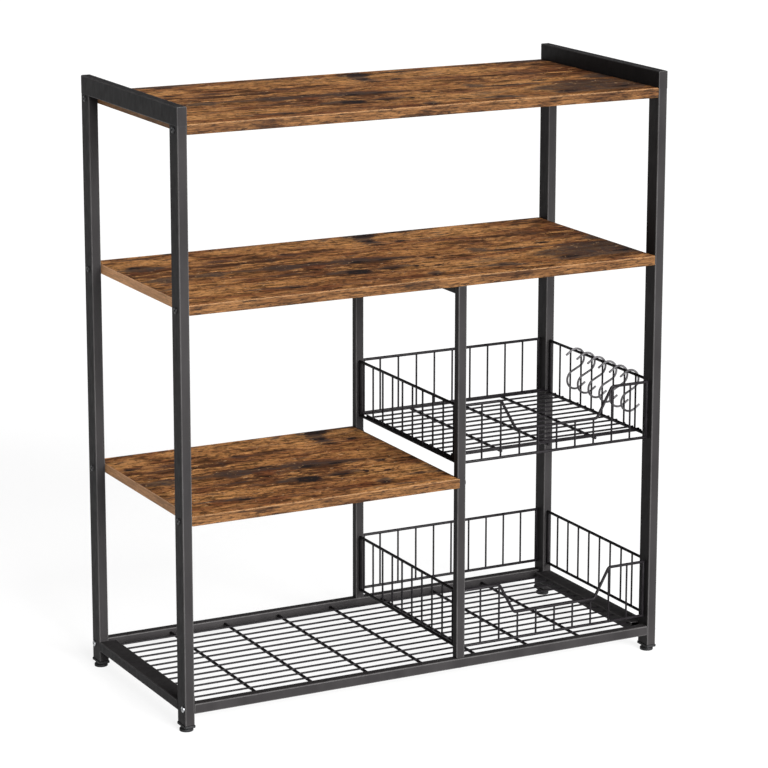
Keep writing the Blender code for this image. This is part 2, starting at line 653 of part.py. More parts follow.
front_wire_y = floor_ys[0] + FLOOR_FRONT_WIRE_STEP
rear_wire_y = floor_ys[-1] + FLOOR_REAR_WIRE_STEP
rear_half = BAY_WIDTH / 2 - FLOOR_REAR_WIRE_CLEAR
cross_wires = [rod_path((left_wire_x, front_wire_y, cross_wire_rise),
                        (right_wire_x, front_wire_y, cross_wire_rise)),
               rod_path((-rear_half, rear_wire_y, cross_wire_rise),
                        (rear_half, rear_wire_y, cross_wire_rise))]
bearer_gap = (right_wire_x - left_wire_x) / (FLOOR_BEARER_COUNT + 1)
bearer_centre_x = (right_wire_x + left_wire_x) / 2
bearers = [rod_path((bearer_centre_x + x, floor_ys[0] - FLOOR_BEARER_NOSE, side_wire_rise),
                    (bearer_centre_x + x, rear_wire_y + THICK_WIRE / 2, side_wire_rise))
           for x in centred_places(FLOOR_BEARER_COUNT, bearer_gap)]
side_wire_end = POST_INNER_Y - THICK_WIRE - FENCE_END_INSET - 2 * SEAT_GAP
side_wires = [rod_path((x, floor_ys[0] - FLOOR_BEARER_NOSE, side_wire_rise),
                       (x, side_wire_end, side_wire_rise)) for x in (left_wire_x, right_wire_x)]
floor_mesh = welded_mesh("upper_basket_floor",
                         wire_mesh("floor_bearers", bearers + side_wires, THICK_WIRE),
                         [wire_mesh("floor_thin_wires", thin_wires, THIN_WIRE),
                          wire_mesh("floor_cross_wires", cross_wires, THICK_WIRE)])
add_piece("upper_basket_floor", floor_mesh, "black_wire_coat", (0.0, 0.0, 0.0),
          parent=basket_centres["upper"])


def hook_path():
    """Centre line of an S-hook round its hinge axis, the rim's centre: two bows and a slanted shank.

    The two bows' centres lie one under the other, so the hook hangs plumb.
    """
    radius = HOOK_BOW_RADIUS
    bow_distance = HOOK_HEIGHT - HOOK_WIRE - 2 * radius
    upper = Vector((0.0, 0.0, HOOK_AXIS_RISE - radius))
    lower = upper - Vector((0.0, 0.0, bow_distance))
    shank_angle = math.acos(2 * radius / bow_distance) - math.pi / 2
    top_angle = math.pi / 2
    angles = [HOOK_TIP_ANGLE + (top_angle - HOOK_TIP_ANGLE) * step / HOOK_TIP_STEPS
              for step in range(HOOK_TIP_STEPS)]
    angles += [top_angle + (shank_angle - top_angle) * step / HOOK_BOW_STEPS
               for step in range(HOOK_BOW_STEPS + 1)]
    path = [upper + radius * Vector((math.cos(angle), 0.0, math.sin(angle))) for angle in angles]
    middle = (upper + lower) / 2
    path += [2 * middle - point for point in reversed(path)]
    return path


# S-hooks on the right rim of the upper basket, each midway between two bars
hook = wire_mesh("s_hook", [hook_path()], HOOK_WIRE)
shade_round(hook)
hook_places = centred_places(SIDE_FENCE_GAPS - 2, SIDE_BAR_PITCH)[:HOOK_COUNT]
for number, y in enumerate(reversed(hook_places), start=1):
    add_piece(f"s_hook_{number}", hook, "grey_hook_coat", (POST_X, y, UPPER_RIM_HEIGHT))

for mesh in (grid, floor_mesh, *fences.values()):
    shade_round(mesh)

print("sub-parts:", sum(1 for piece in parts.objects if piece.type == "MESH"))
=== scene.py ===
# %% [markdown]
# # Kitchen shelf with wire baskets
# A frame of black steel tubes carries three boards with a worn-wood print. On the right, wire
# fences make two baskets, and S-hooks hang on the upper one's rim. The measured model of every
# part is loaded first and stays in place. Each cell then makes one part the way it looks, in
# metres, right where its measured part is, and says which one it stands for.

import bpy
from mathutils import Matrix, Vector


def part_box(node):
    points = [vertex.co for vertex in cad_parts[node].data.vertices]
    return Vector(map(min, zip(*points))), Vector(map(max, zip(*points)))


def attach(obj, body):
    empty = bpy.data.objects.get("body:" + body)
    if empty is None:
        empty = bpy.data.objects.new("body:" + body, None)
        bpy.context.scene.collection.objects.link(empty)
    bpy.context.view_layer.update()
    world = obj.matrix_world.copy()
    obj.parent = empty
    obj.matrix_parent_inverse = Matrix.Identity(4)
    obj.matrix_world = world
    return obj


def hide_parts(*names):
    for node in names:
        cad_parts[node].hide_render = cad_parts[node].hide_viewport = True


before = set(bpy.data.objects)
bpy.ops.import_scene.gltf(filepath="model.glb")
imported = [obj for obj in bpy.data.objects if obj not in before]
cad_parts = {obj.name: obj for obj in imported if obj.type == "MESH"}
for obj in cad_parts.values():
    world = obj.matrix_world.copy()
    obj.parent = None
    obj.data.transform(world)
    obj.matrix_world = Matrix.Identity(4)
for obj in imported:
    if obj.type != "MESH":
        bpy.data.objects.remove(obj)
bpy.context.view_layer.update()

# %% [markdown]
# ## The camera
# The catalogue picture was taken from the front left, a little above the top board, with a long
# lens, so upright lines stay almost upright. A camera could be aimed with a constraint, but a
# matrix built from three angles keeps the view exactly repeatable. The small lens shift puts
# the shelf where it stands in the picture.

# %% Camera
import math

import bmesh
import bpy
from mathutils import Matrix, Vector

CAMERA_PLACE = Vector((-2.0911, -4.0396, 1.5612))
CAMERA_TURN = math.radians(-28.39)
CAMERA_RISE = math.radians(13.036)
CAMERA_ROLL = math.radians(0.262)
SENSOR_WIDTH = 36.0
LENS = 144.55
LENS_SHIFT = -0.0599

lens_data = bpy.data.cameras.new("product_camera")
lens_data.sensor_width = SENSOR_WIDTH
lens_data.lens = LENS
lens_data.shift_x = LENS_SHIFT
lens_data.shift_y = LENS_SHIFT

backwards = Vector((math.sin(CAMERA_TURN) * math.cos(CAMERA_RISE),
                    -math.cos(CAMERA_TURN) * math.cos(CAMERA_RISE), math.sin(CAMERA_RISE)))
level_right = Vector((math.cos(CAMERA_TURN), math.sin(CAMERA_TURN), 0.0))
level_up = backwards.cross(level_right)
right = level_right * math.cos(CAMERA_ROLL) + level_up * math.sin(CAMERA_ROLL)
up = level_up * math.cos(CAMERA_ROLL) - level_right * math.sin(CAMERA_ROLL)

camera = bpy.data.objects.new("product_camera", lens_data)
bpy.context.scene.collection.objects.link(camera)
camera.matrix_world = Matrix.Translation(CAMERA_PLACE) @ Matrix((right, up, backwards)).transposed().to_4x4()
bpy.context.scene.camera = camera

# %% [markdown]
# ## Floor, sky and lamps
# The shelf is shown on a plain pale ground that glows a little, so that it stays white. One wide
# soft lamp stands low and almost straight in front: it reaches deep between the boards, lights
# the fronts more than the tops, and leaves the left sides of the dark tubes darker, as in the
# picture. A weak one fills in from above. Both are sun lamps with a wide angle, which light the
# whole floor evenly, where area lamps would fade. The studio round it is pale at the walls and
# dim above. The standard view transform keeps the browns as mixed.

# %% Floor, surroundings and lamps
FLOOR_HALF = 60.0
FLOOR_TONE = (0.14, 0.14, 0.14, 1.0)
FLOOR_ROUGHNESS = 0.9
FLOOR_GLOW = 0.86
WHITE = (1.0, 1.0, 1.0, 1.0)
WALL_TOP = 0.06
WALL_TONE = (0.80, 0.80, 0.81, 1.0)
CEILING_START = 0.15
CEILING_TONE = (0.10, 0.10, 0.105, 1.0)
# Each lamp's turn, rise and width in degrees, and its power.
LAMPS = {"front_lamp": (6.0, 19.0, 36.0, 13.0), "top_lamp": (60.0, 75.0, 50.0, 0.35)}

bpy.context.scene.view_settings.view_transform = "Standard"


def link_object(name, data):
    """Put mesh, lamp or curve data in the scene as an object."""
    made = bpy.data.objects.new(name, data)
    bpy.context.scene.collection.objects.link(made)
    return made


floor_mesh = bpy.data.meshes.new("floor")
floor_mesh.from_pydata([(-FLOOR_HALF, -FLOOR_HALF, 0.0), (FLOOR_HALF, -FLOOR_HALF, 0.0),
                        (FLOOR_HALF, FLOOR_HALF, 0.0), (-FLOOR_HALF, FLOOR_HALF, 0.0)], [], [(0, 1, 2, 3)])
floor = link_object("floor", floor_mesh)

pale = bpy.data.materials.new("pale_floor")
pale.use_nodes = True
pale_shader = pale.node_tree.nodes["Principled BSDF"]
pale_shader.inputs["Base Color"].default_value = FLOOR_TONE
pale_shader.inputs["Roughness"].default_value = FLOOR_ROUGHNESS
pale_shader.inputs["Specular IOR Level"].default_value = 0.0
pale_shader.inputs["Emission Color"].default_value = WHITE
pale_shader.inputs["Emission Strength"].default_value = FLOOR_GLOW
floor_mesh.materials.append(pale)

world = bpy.data.worlds.new("studio")
world.use_nodes = True
sky = world.node_tree
direction = sky.nodes.new("ShaderNodeSeparateXYZ")
sky.links.new(sky.nodes.new("ShaderNodeTexCoord").outputs["Generated"], direction.inputs["Vector"])
walls = sky.nodes.new("ShaderNodeValToRGB")
sky.links.new(direction.outputs["Z"], walls.inputs["Fac"])
walls.color_ramp.elements[0].position = WALL_TOP
walls.color_ramp.elements[0].color = WALL_TONE
walls.color_ramp.elements[1].position = CEILING_START
walls.color_ramp.elements[1].color = CEILING_TONE
sky.links.new(walls.outputs["Color"], sky.nodes["Background"].inputs["Color"])
bpy.context.scene.world = world


def soft_lamp(name, turn, rise, width, power):
    """A far-off soft lamp. Turn 0 is straight in front of the shelf, 90 to its right. Width is its angle."""
    lamp = bpy.data.lights.new(name, "SUN")
    lamp.angle = width
    lamp.energy = power
    towards = Vector((math.sin(turn) * math.cos(rise), -math.cos(turn) * math.cos(rise), math.sin(rise)))
    link_object(name, lamp).rotation_euler = towards.to_track_quat("Z", "Y").to_euler()


for lamp_name, (turn, rise, width, power) in LAMPS.items():
    soft_lamp(lamp_name, math.radians(turn), math.radians(rise), math.radians(width), power)

# %% [markdown]
# ## Mixing finishes from noise
# Every finish here is mixed by nodes from the place on the part itself, so it needs no picture
# and no unwrapping. A few small helpers cover what they share: a material, a node with its links,
# steps of arithmetic, a noise that can be drawn out along one direction, a ramp that turns it
# into two or more tones, a mix of two colours and a bump that turns a height into light and shade.

# %% Helpers for finishes
def new_finish(name, **sockets):
    """A material with the given values on its shader's own sockets. Gives it with its node tree."""
    finish = bpy.data.materials.new(name)
    finish.use_nodes = True
    shader = finish.node_tree.nodes["Principled BSDF"]
    for socket, value in sockets.items():
        shader.inputs[socket.replace("_", " ")].default_value = value
    return finish, finish.node_tree


def node(tree, kind, inputs=None, **settings):
    """Add a node. Inputs may be numbers, or outputs of other nodes to link."""
    made = tree.nodes.new("ShaderNode" + kind)
    for key, value in settings.items():
        setattr(made, key, value)
    for key, value in (inputs or {}).items():
        if isinstance(value, bpy.types.NodeSocket):
            tree.links.new(value, made.inputs[key])
        else:
            made.inputs[key].default_value = value
    return made


def maths(tree, operation, first, second=0.0, third=0.0):
    """One step of arithmetic."""
    return node(tree, "Math", {0: first, 1: second, 2: third}, operation=operation).outputs[0]


def vector_maths(tree, operation, first, second):
    """One step of arithmetic on places."""
    return node(tree, "VectorMath", {0: first, 1: second}, operation=operation).outputs["Vector"]


def noise(tree, where, detail=4.0, roughness=0.55, distortion=0.0):
    """A cloudy value from 0 to 1."""
    return node(tree, "TexNoise", {"Vector": where, "Scale": 1.0, "Detail": detail, "Roughness": roughness,
                                   "Distortion": distortion}).outputs["Fac"]


def noise_on_part(tree, stretch, detail=4.0, roughness=0.55):
    """Noise at the place on the part in metres, stretched by one number or by one for each axis."""
    scale = stretch if isinstance(stretch, tuple) else (stretch, stretch, stretch)
    here = node(tree, "TexCoord").outputs["Object"]
    where = node(tree, "Mapping", {"Vector": here, "Scale": scale}).outputs["Vector"]
    return noise(tree, where, detail, roughness)


def ramp(tree, value, *stops):
    """Turns a value into tones: stops are (place, colour) or (place, grey)."""
    made = node(tree, "ValToRGB", {"Fac": value})
    line = made.color_ramp
    while len(line.elements) < len(stops):
        line.elements.new(1.0)
    for element, (where, tone) in zip(line.elements, stops):
        element.position = where
        element.color = (*tone, 1.0) if isinstance(tone, tuple) else (tone, tone, tone, 1.0)
    return made.outputs["Color"]


def mix(tree, amount, first, second, blend="MIX"):
    """Mixes two colours."""
    first, second = [(*tone, 1.0) if isinstance(tone, tuple) else tone for tone in (first, second)]
    return node(tree, "Mix", {0: amount, 6: first, 7: second}, data_type="RGBA",
                blend_type=blend).outputs[2]


def wear_the(tree, colour, roughness, height, depth, strength=0.5):
    """Links what was mixed to the shader: colour, roughness, and a height as bump."""
    shader = tree.nodes["Principled BSDF"]
    tree.links.new(colour, shader.inputs["Base Color"])
    tree.links.new(roughness, shader.inputs["Roughness"])
    bump = node(tree, "Bump", {"Height": height, "Distance": depth, "Strength": strength})
    tree.links.new(bump.outputs["Normal"], shader.inputs["Normal"])


print("finish helpers ready")

# %% [markdown]
# ## Black powder coat
# The tubes are sprayed with powder and baked. The coat is a very dark grey with a fine leathery
# grain, a little duller where it is thick. Along the rounded corners of the tubes it is a little
# smoother, and a painted highlight lightens its colour there in broken patches. The corners are
# told from the flats by a value stored on each face of the mesh.

# %% Powder coat
COAT_DARK = (0.0120, 0.0111, 0.0114)
COAT_LIGHT = (0.0175, 0.0163, 0.0166)
# The colour of the painted highlight on rounded corners, and how much of it shows at most.
COAT_CORNER_HIGHLIGHT = (0.046, 0.044, 0.044)
CORNER_HIGHLIGHT_MOST = 0.90
CORNER_SHINE = 0.10
FINE_GRAIN = 0.00008


def powder_coat(name):
    """Dark grey baked powder: cloudy tone, fine grain, smoother and with a painted highlight on rounded
    corners.
    """
    finish, tree = new_finish(name, Specular_IOR_Level=0.05)
    clouds = noise_on_part(tree, (22.0, 22.0, 9.0), 5.0)
    tone = ramp(tree, clouds, (0.35, COAT_DARK), (0.68, COAT_LIGHT))
    corner = node(tree, "Attribute", attribute_name="rounded_corner").outputs["Fac"]
    highlight_patches = ramp(tree, noise_on_part(tree, (60.0, 60.0, 25.0), 6.0, 0.65), (0.38, 0.60), (0.62, 1.0))
    # Painted highlight: the colour is lightened along the rounded corners, broken up in patches by noise.
    corner_highlight = maths(tree, "MULTIPLY", corner, highlight_patches)
    colour = mix(tree, maths(tree, "MULTIPLY", corner_highlight, CORNER_HIGHLIGHT_MOST), tone, COAT_CORNER_HIGHLIGHT)
    dull = ramp(tree, noise_on_part(tree, (150.0, 150.0, 60.0)), (0.3, 0.44), (0.7, 0.58))
    rough = maths(tree, "SUBTRACT", dull, maths(tree, "MULTIPLY", corner, CORNER_SHINE))
    wear_the(tree, colour, rough, noise_on_part(tree, 1500.0, 2.0), FINE_GRAIN, strength=0.45)
    return finish


coat = powder_coat("black_powder_coat")
print("coat nodes:", len(coat.node_tree.nodes))

# %% [markdown]
# ## Steel tubes
# Square tube is rolled from strip, so it has flat sides, rounded corners and a thin wall. A cube
# with a bevel would do from afar, but then nothing is hollow. Here a rounded outline is drawn
# out along the tube and back again inside, one ring of points at a time. A closed tube gets end
# plates whose edges were ground round after welding. Rounded corners and ground edges are marked
# for the coat. The posts reach a millimetre up into the top bars' rounded edge, as weld metal.

# %% Rings of points and the skins between them
def rounded_outline(across, deep, corner, steps=5):
    """Points of a rectangle with arcs for corners, counter-clockwise, as (x, y)."""
    points = []
    for quarter, (x, y) in enumerate(((1, 1), (-1, 1), (-1, -1), (1, -1))):
        for step in range(steps + 1):
            angle = math.pi / 2 * (quarter + step / steps)
            points.append((x * (across / 2 - corner) + corner * math.cos(angle),
                           y * (deep / 2 - corner) + corner * math.sin(angle)))
    return points


def skin(work, rings, closed=False, cap_first=False, cap_last=False):
    """Faces from each ring of points to the next, in one bmesh. Gives the rings' vertices."""
    rows = [[work.verts.new(point) for point in ring] for ring in rings]
    pairs = list(zip(rows, rows[1:])) + ([(rows[-1], rows[0])] if closed else [])
    for low, high in pairs:
        count = len(low)
        for i in range(count):
            j = (i + 1) % count
            work.faces.new((low[i], low[j], high[j], high[i]))
    if cap_first:
        work.faces.new(list(reversed(rows[0])))
    if cap_last:
        work.faces.new(rows[-1])
    return rows


def finish_piece(name, work, materials, node_name, body="shelf", sharp=40.0,
                 flat_faces=True):
    """Turns a bmesh into a finished piece that rides on a body and stands for a measured part."""
    bmesh.ops.recalc_face_normals(work, faces=work.faces)
    mesh = bpy.data.meshes.new(name)
    work.to_mesh(mesh)
    work.free()
    for material in materials:
        mesh.materials.append(material)
    mesh.shade_smooth()
    mesh.set_sharp_from_angle(angle=math.radians(sharp))
    piece = link_object(name, mesh)
    if flat_faces:
        weighted = piece.modifiers.new("flats_stay_flat", "WEIGHTED_NORMAL")
        weighted.keep_sharp = True
    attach(piece, body)
    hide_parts(node_name)
    return piece


print("ring, skin and piece helpers ready")

# %% Tube maker
WALL = 0.0012
CORNER = 0.0016
INNER_CORNER = CORNER - WALL * 0.7
CUT_EDGE = 0.00025
GROUND_EDGE = CUT_EDGE * 3
QUARTER_TURN = (0.0, math.pi / 6, math.pi / 3, math.pi / 2)
TURN_OUT = {"x": Matrix(((0, 0, 1), (0, 1, 0), (-1, 0, 0))),
            "y": Matrix(((1, 0, 0), (0, 0, 1), (0, -1, 0))),
            "z": Matrix.Identity(3)}


def tube_rings(across, deep, length, closed_ends):
    """Rings of a tube along Z round its middle. Closed ends are domed plates, open ones show the wall."""
    def ring(inset, height, corner=CORNER):
        return [Vector((x, y, height)) for x, y in
                rounded_outline(across - 2 * inset, deep - 2 * inset, corner)]
    half = length / 2
    if closed_ends:
        rings = []
        for side in (-1, 1):
            arc = [ring(GROUND_EDGE * (1 - math.sin(t)), side * (half - GROUND_EDGE * (1 - math.cos(t))))
                   for t in QUARTER_TURN]
            rings += arc if side < 0 else list(reversed(arc))
        return rings
    outside = [ring(CUT_EDGE, -half), ring(0.0, -half + CUT_EDGE), ring(0.0, half - CUT_EDGE),
               ring(CUT_EDGE, half)]
    return outside + [ring(WALL, half, INNER_CORNER), ring(WALL, -half, INNER_CORNER)]


def make_tube(name, section, closed_ends=False, weld_fill=0.0):
    """A tube that fills its measured part's box: section is (along, across, deep) with along x, y or z."""
    along, across, deep = section
    low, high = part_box(name)
    high = high + Vector((0.0, 0.0, weld_fill))
    length = (high - low)["xyz".index(along)]
    work = bmesh.new()
    rounded = work.faces.layers.float.new("rounded_corner")
    rows = skin(work, tube_rings(across, deep, length, closed_ends), closed=not closed_ends,
                cap_first=closed_ends, cap_last=closed_ends)
    per_corner = len(rows[0]) // 4
    spot = {vert: (end, i) for end, row in enumerate(rows) for i, vert in enumerate(row)}
    for face in work.faces:
        ends = {spot[vert][0] for vert in face.verts}
        spots = sorted({spot[vert][1] for vert in face.verts})
        along_corner = len(spots) == 2 and spots[1] - spots[0] == 1
        along_corner = along_corner and spots[0] % per_corner != per_corner - 1
        ground_edge = closed_ends and len(ends) == 2 and ends != {len(rows) // 2 - 1, len(rows) // 2}
        if along_corner or ground_edge:
            face[rounded] = 1.0
    bmesh.ops.transform(work, verts=work.verts, space=Matrix.Identity(4),
                        matrix=Matrix.Translation((low + high) / 2) @ TURN_OUT[along].to_4x4())
    return finish_piece(name + "_coated", work, [coat], name)


# Each section: the axis that the tube runs along, and its size across and deep.
POST = ("z", 0.015, 0.028)
TOP_BAR = ("y", 0.015, 0.028)
SIDE_RAIL = ("y", 0.028, 0.015)
LONG_RAIL = ("x", 0.015, 0.015)
MIDDLE_POST = ("z", 0.014, 0.013)
MIDDLE_BAR = ("y", 0.014, 0.013)
WELD_FILL = 0.00115
tubes = []
for side_name in ("left", "right"):
    for end_name in ("front", "rear"):
        tubes.append(make_tube(f"post_{side_name}_{end_name}", POST, weld_fill=WELD_FILL))
    tubes.append(make_tube(f"top_bar_{side_name}", TOP_BAR, closed_ends=True))
    tubes.append(make_tube(f"rail_{side_name}", SIDE_RAIL))
for end_name in ("front", "rear"):
    tubes.append(make_tube(f"rail_{end_name}", LONG_RAIL, closed_ends=True))
    tubes.append(make_tube(f"middle_post_{end_name}", MIDDLE_POST, closed_ends=True))
tubes.append(make_tube("middle_top_bar", MIDDLE_BAR))
print("tubes:", len(tubes))

# %% [markdown]
# ## The worn-wood print
# The boards are chipboard with a printed, pressed skin. The print shows a brown plank with short
# streaks, grey smoky bands, black knots and pale specks, always drawn out along the board. The
# maker cuts all three boards from one printed sheet, so they show the same knots, the middle and
# the short board shifted along and across it. Streaks come from noise that is stretched along the
# board. The few large marks are placed one by one from a list, and noise frays their rims.

# %% The print's large marks
# Each mark: place along and across the board, half its length and width, and how dark it is.
SMOKE_BANDS = [
    (-0.287, -0.018, 0.034, 0.017, 0.90), (-0.177, -0.018, 0.034, 0.021, 0.90),
    (-0.240, -0.014, 0.060, 0.012, 0.60), (-0.085, -0.016, 0.080, 0.014, 0.75),
    (-0.035, -0.032, 0.062, 0.012, 0.95), (-0.355, -0.020, 0.036, 0.020, 0.80),
    (-0.105, -0.094, 0.040, 0.017, 0.65), (-0.030, -0.088, 0.034, 0.013, 0.70),
    (-0.365, 0.064, 0.034, 0.022, 1.00), (0.030, 0.118, 0.018, 0.030, 0.95),
    (0.040, 0.146, 0.030, 0.020, 1.05), (0.115, 0.150, 0.062, 0.008, 0.85),
    (0.315, -0.105, 0.080, 0.058, 0.90), (0.240, -0.108, 0.040, 0.036, 0.60),
    (0.255, -0.137, 0.032, 0.020, 1.00), (0.350, -0.128, 0.050, 0.026, 1.00),
    (0.330, -0.068, 0.055, 0.014, 0.85), (0.190, -0.047, 0.050, 0.009, 0.80),
    (0.370, -0.030, 0.030, 0.020, 0.90), (0.152, -0.025, 0.015, 0.016, 0.55),
    (-0.165, 0.036, 0.010, 0.018, 0.60), (0.340, 0.164, 0.070, 0.009, 0.90),
    (-0.280, 0.166, 0.080, 0.008, 0.85), (0.008, -0.156, 0.018, 0.014, 0.85),
    (0.130, -0.142, 0.030, 0.014, 0.65), (-0.215, -0.150, 0.036, 0.008, 0.60),
    (-0.120, 0.160, 0.050, 0.006, 0.70),
]
KNOTS = [
    (0.040, 0.147, 0.024, 0.017, 1.15), (0.030, 0.104, 0.016, 0.008, 0.95),
    (0.027, 0.072, 0.016, 0.006, 0.65), (0.080, 0.083, 0.017, 0.006, 0.65),
    (-0.125, 0.072, 0.014, 0.006, 0.60), (-0.300, 0.074, 0.014, 0.008, 0.65),
    (-0.277, 0.152, 0.022, 0.006, 0.65), (-0.087, -0.097, 0.023, 0.017, 1.20),
    (-0.032, -0.092, 0.020, 0.007, 0.85), (0.008, -0.095, 0.005, 0.010, 0.90),
    (0.041, -0.102, 0.009, 0.006, 0.85), (-0.055, -0.031, 0.024, 0.007, 0.90),
    (-0.012, -0.033, 0.018, 0.006, 0.80), (-0.128, -0.006, 0.030, 0.004, 0.75),
    (0.060, -0.048, 0.013, 0.006, 0.65), (0.195, -0.047, 0.022, 0.006, 0.75),
    (0.265, -0.025, 0.013, 0.007, 0.75), (0.253, -0.138, 0.024, 0.010, 0.70),
    (0.345, -0.132, 0.026, 0.010, 0.75), (0.105, 0.152, 0.030, 0.005, 0.80),
    (0.130, -0.146, 0.013, 0.008, 0.60), (0.078, -0.140, 0.012, 0.007, 0.60),
    (0.008, -0.160, 0.010, 0.010, 0.80), (-0.217, -0.151, 0.026, 0.005, 0.65),
    (-0.368, 0.078, 0.018, 0.009, 0.80), (0.255, 0.160, 0.030, 0.005, 0.65),
    (0.300, 0.118, 0.014, 0.005, 0.50),
]
# How fine the noise is that frays the marks, and how far it pushes them, along and across.
BAND_FRAY = ((18.0, 55.0), (0.080, 0.034))
KNOT_FRAY = ((48.0, 130.0), (0.040, 0.020))
# How far out, in half sizes of a mark, it starts and is at its darkest.
MARK_RIM = 1.45
MARK_CORE = 0.25
print("marks in the print:", len(SMOKE_BANDS), "bands,", len(KNOTS), "knots")

# %% Finish of the boards' faces
WOOD_PALE = (0.460, 0.220, 0.077)
WOOD_GOLD = (0.350, 0.153, 0.049)
WOOD_MIDDLE = (0.232, 0.095, 0.033)
WOOD_DARK = (0.098, 0.039, 0.015)
WOOD_RED = (0.150, 0.047, 0.017)
WOOD_SMOKE = (0.040, 0.027, 0.023)
SMOKE_TINT = (0.34, 0.40, 0.54)
WOOD_RING = (0.050, 0.023, 0.012)
WOOD_BLACK = (0.0095, 0.0065, 0.0060)
WOOD_DASH = (0.040, 0.015, 0.008)
WOOD_SPECK = (0.62, 0.40, 0.22)
WOOD_GRAIN = 0.00012
# Each noise: stretch along and across, a number of its own, detail, roughness and distortion.
FACE_NOISES = {
    "broad": (3.6, 12.0, 1.0, 7.0, 0.62, 0.4), "ruddy": (6.5, 22.0, 8.0, 6.0, 0.62, 0.0),
    "streaks": (12.0, 52.0, 2.0, 7.0, 0.62, 0.5), "glints": (16.0, 66.0, 3.0, 6.0, 0.64, 0.4),
    "flecks": (72.0, 130.0, 4.0, 6.0, 0.72, 0.3), "dashes": (30.0, 92.0, 6.0, 6.0, 0.66, 0.4),
    "dots": (90.0, 120.0, 9.0, 3.0, 0.6, 0.0), "specks": (80.0, 190.0, 7.0, 4.0, 0.6, 0.0),
}


def print_marks(tree, here, marks, fineness, push):
    """How dark a list of marks makes the print at this place. Noise of a fineness pushes their rims about."""
    where = node(tree, "Mapping", {"Vector": here, "Scale": (*fineness, 1.0)}).outputs["Vector"]
    fray = node(tree, "TexNoise", {"Vector": where, "Scale": 1.0, "Detail": 6.0,
                                   "Roughness": 0.68}).outputs["Color"]
    centred = vector_maths(tree, "SUBTRACT", fray, (0.5, 0.5, 0.5))
    frayed = vector_maths(tree, "ADD", here, vector_maths(tree, "MULTIPLY", centred, (*push, 0.0)))
    darkest = None
    for along, across, half_along, half_across, depth in marks:
        moved = vector_maths(tree, "SUBTRACT", frayed, (along, across, 0.0))
        scaled = vector_maths(tree, "MULTIPLY", moved, (1 / half_along, 1 / half_across, 0.0))
        reach = node(tree, "VectorMath", {0: scaled}, operation="LENGTH").outputs["Value"]
        dark = node(tree, "MapRange", {"Value": reach, "From Min": MARK_RIM, "From Max": MARK_CORE,
                                       "To Min": 0.0, "To Max": depth},
                    interpolation_type="SMOOTHSTEP").outputs["Result"]
        darkest = dark if darkest is None else maths(tree, "MAXIMUM", darkest, dark)
    return darkest


def cover(tree, first, value, start, end, most, second):
    """Covers a colour with a second one where a value is high: not at start, most of all from end on."""
    return mix(tree, ramp(tree, value, (start, 0.0), (end, most)), first, second)


def board_face(name, sheet_shift):
    """The printed face. The shift says how far along and across the printed sheet it was cut."""
    finish, tree = new_finish(name, Specular_IOR_Level=0.05)
    here = vector_maths(tree, "ADD", node(tree, "TexCoord").outputs["Object"], (*sheet_shift, 0.0))
    flat = vector_maths(tree, "MULTIPLY", here, (1.0, 1.0, 0.0))

    def wood_noise(kind):
        along, across, number, *fine = FACE_NOISES[kind]
        where = node(tree, "Mapping", {"Vector": flat, "Scale": (along, across, 1.0),
                                       "Location": (0.0, 0.0, number)}).outputs["Vector"]
        return noise(tree, where, *fine)

    streaks, flecks = wood_noise("streaks"), wood_noise("flecks")
    toned = ramp(tree, wood_noise("broad"), (0.40, WOOD_DARK), (0.46, WOOD_MIDDLE), (0.52, WOOD_GOLD),
                 (0.60, WOOD_PALE))
    ruddy = cover(tree, toned, wood_noise("ruddy"), 0.50, 0.60, 0.80, WOOD_RED)
    streaky = mix(tree, 1.0, ruddy, ramp(tree, streaks, (0.37, 0.24), (0.47, 0.70), (0.56, 1.0)), "MULTIPLY")
    bright = cover(tree, streaky, wood_noise("glints"), 0.54, 0.63, 0.85, WOOD_PALE)
    grained = mix(tree, 1.0, bright, ramp(tree, flecks, (0.41, 0.26), (0.49, 0.82), (0.55, 1.0)), "MULTIPLY")
    wisps = maths(tree, "MULTIPLY_ADD", flecks, 1.2, maths(tree, "MULTIPLY_ADD", streaks, 3.6, -2.42))
    ragged = maths(tree, "ADD", print_marks(tree, flat, SMOKE_BANDS, *BAND_FRAY), wisps)
    smoke = mix(tree, ramp(tree, flecks, (0.43, 0.85), (0.56, 0.20)),
                mix(tree, 1.0, grained, SMOKE_TINT, "MULTIPLY"), WOOD_SMOKE)
    smoky = cover(tree, grained, ragged, 0.14, 0.54, 1.0, smoke)
    torn = maths(tree, "MULTIPLY_ADD", maths(tree, "SUBTRACT", flecks, 0.5), 2.3,
                 print_marks(tree, flat, KNOTS, *KNOT_FRAY))
    ringed = cover(tree, smoky, torn, 0.20, 0.42, 0.90, WOOD_RING)
    knotted = cover(tree, ringed, torn, 0.44, 0.60, 1.0, WOOD_BLACK)
    dashed = cover(tree, knotted, wood_noise("dashes"), 0.575, 0.62, 0.9, WOOD_DASH)
    dotted = cover(tree, dashed, wood_noise("dots"), 0.60, 0.65, 0.85, WOOD_DASH)
    colour = cover(tree, dotted, wood_noise("specks"), 0.65, 0.70, 0.75, WOOD_SPECK)
    pores = mix(tree, 0.5, ramp(tree, streaks, (0.35, 0.0), (0.65, 1.0)),
                ramp(tree, flecks, (0.3, 0.0), (0.7, 1.0)))
    wear_the(tree, colour, ramp(tree, streaks, (0.3, 0.66), (0.7, 0.50)), pores, WOOD_GRAIN)
    return finish


print("noises in the face:", len(FACE_NOISES))
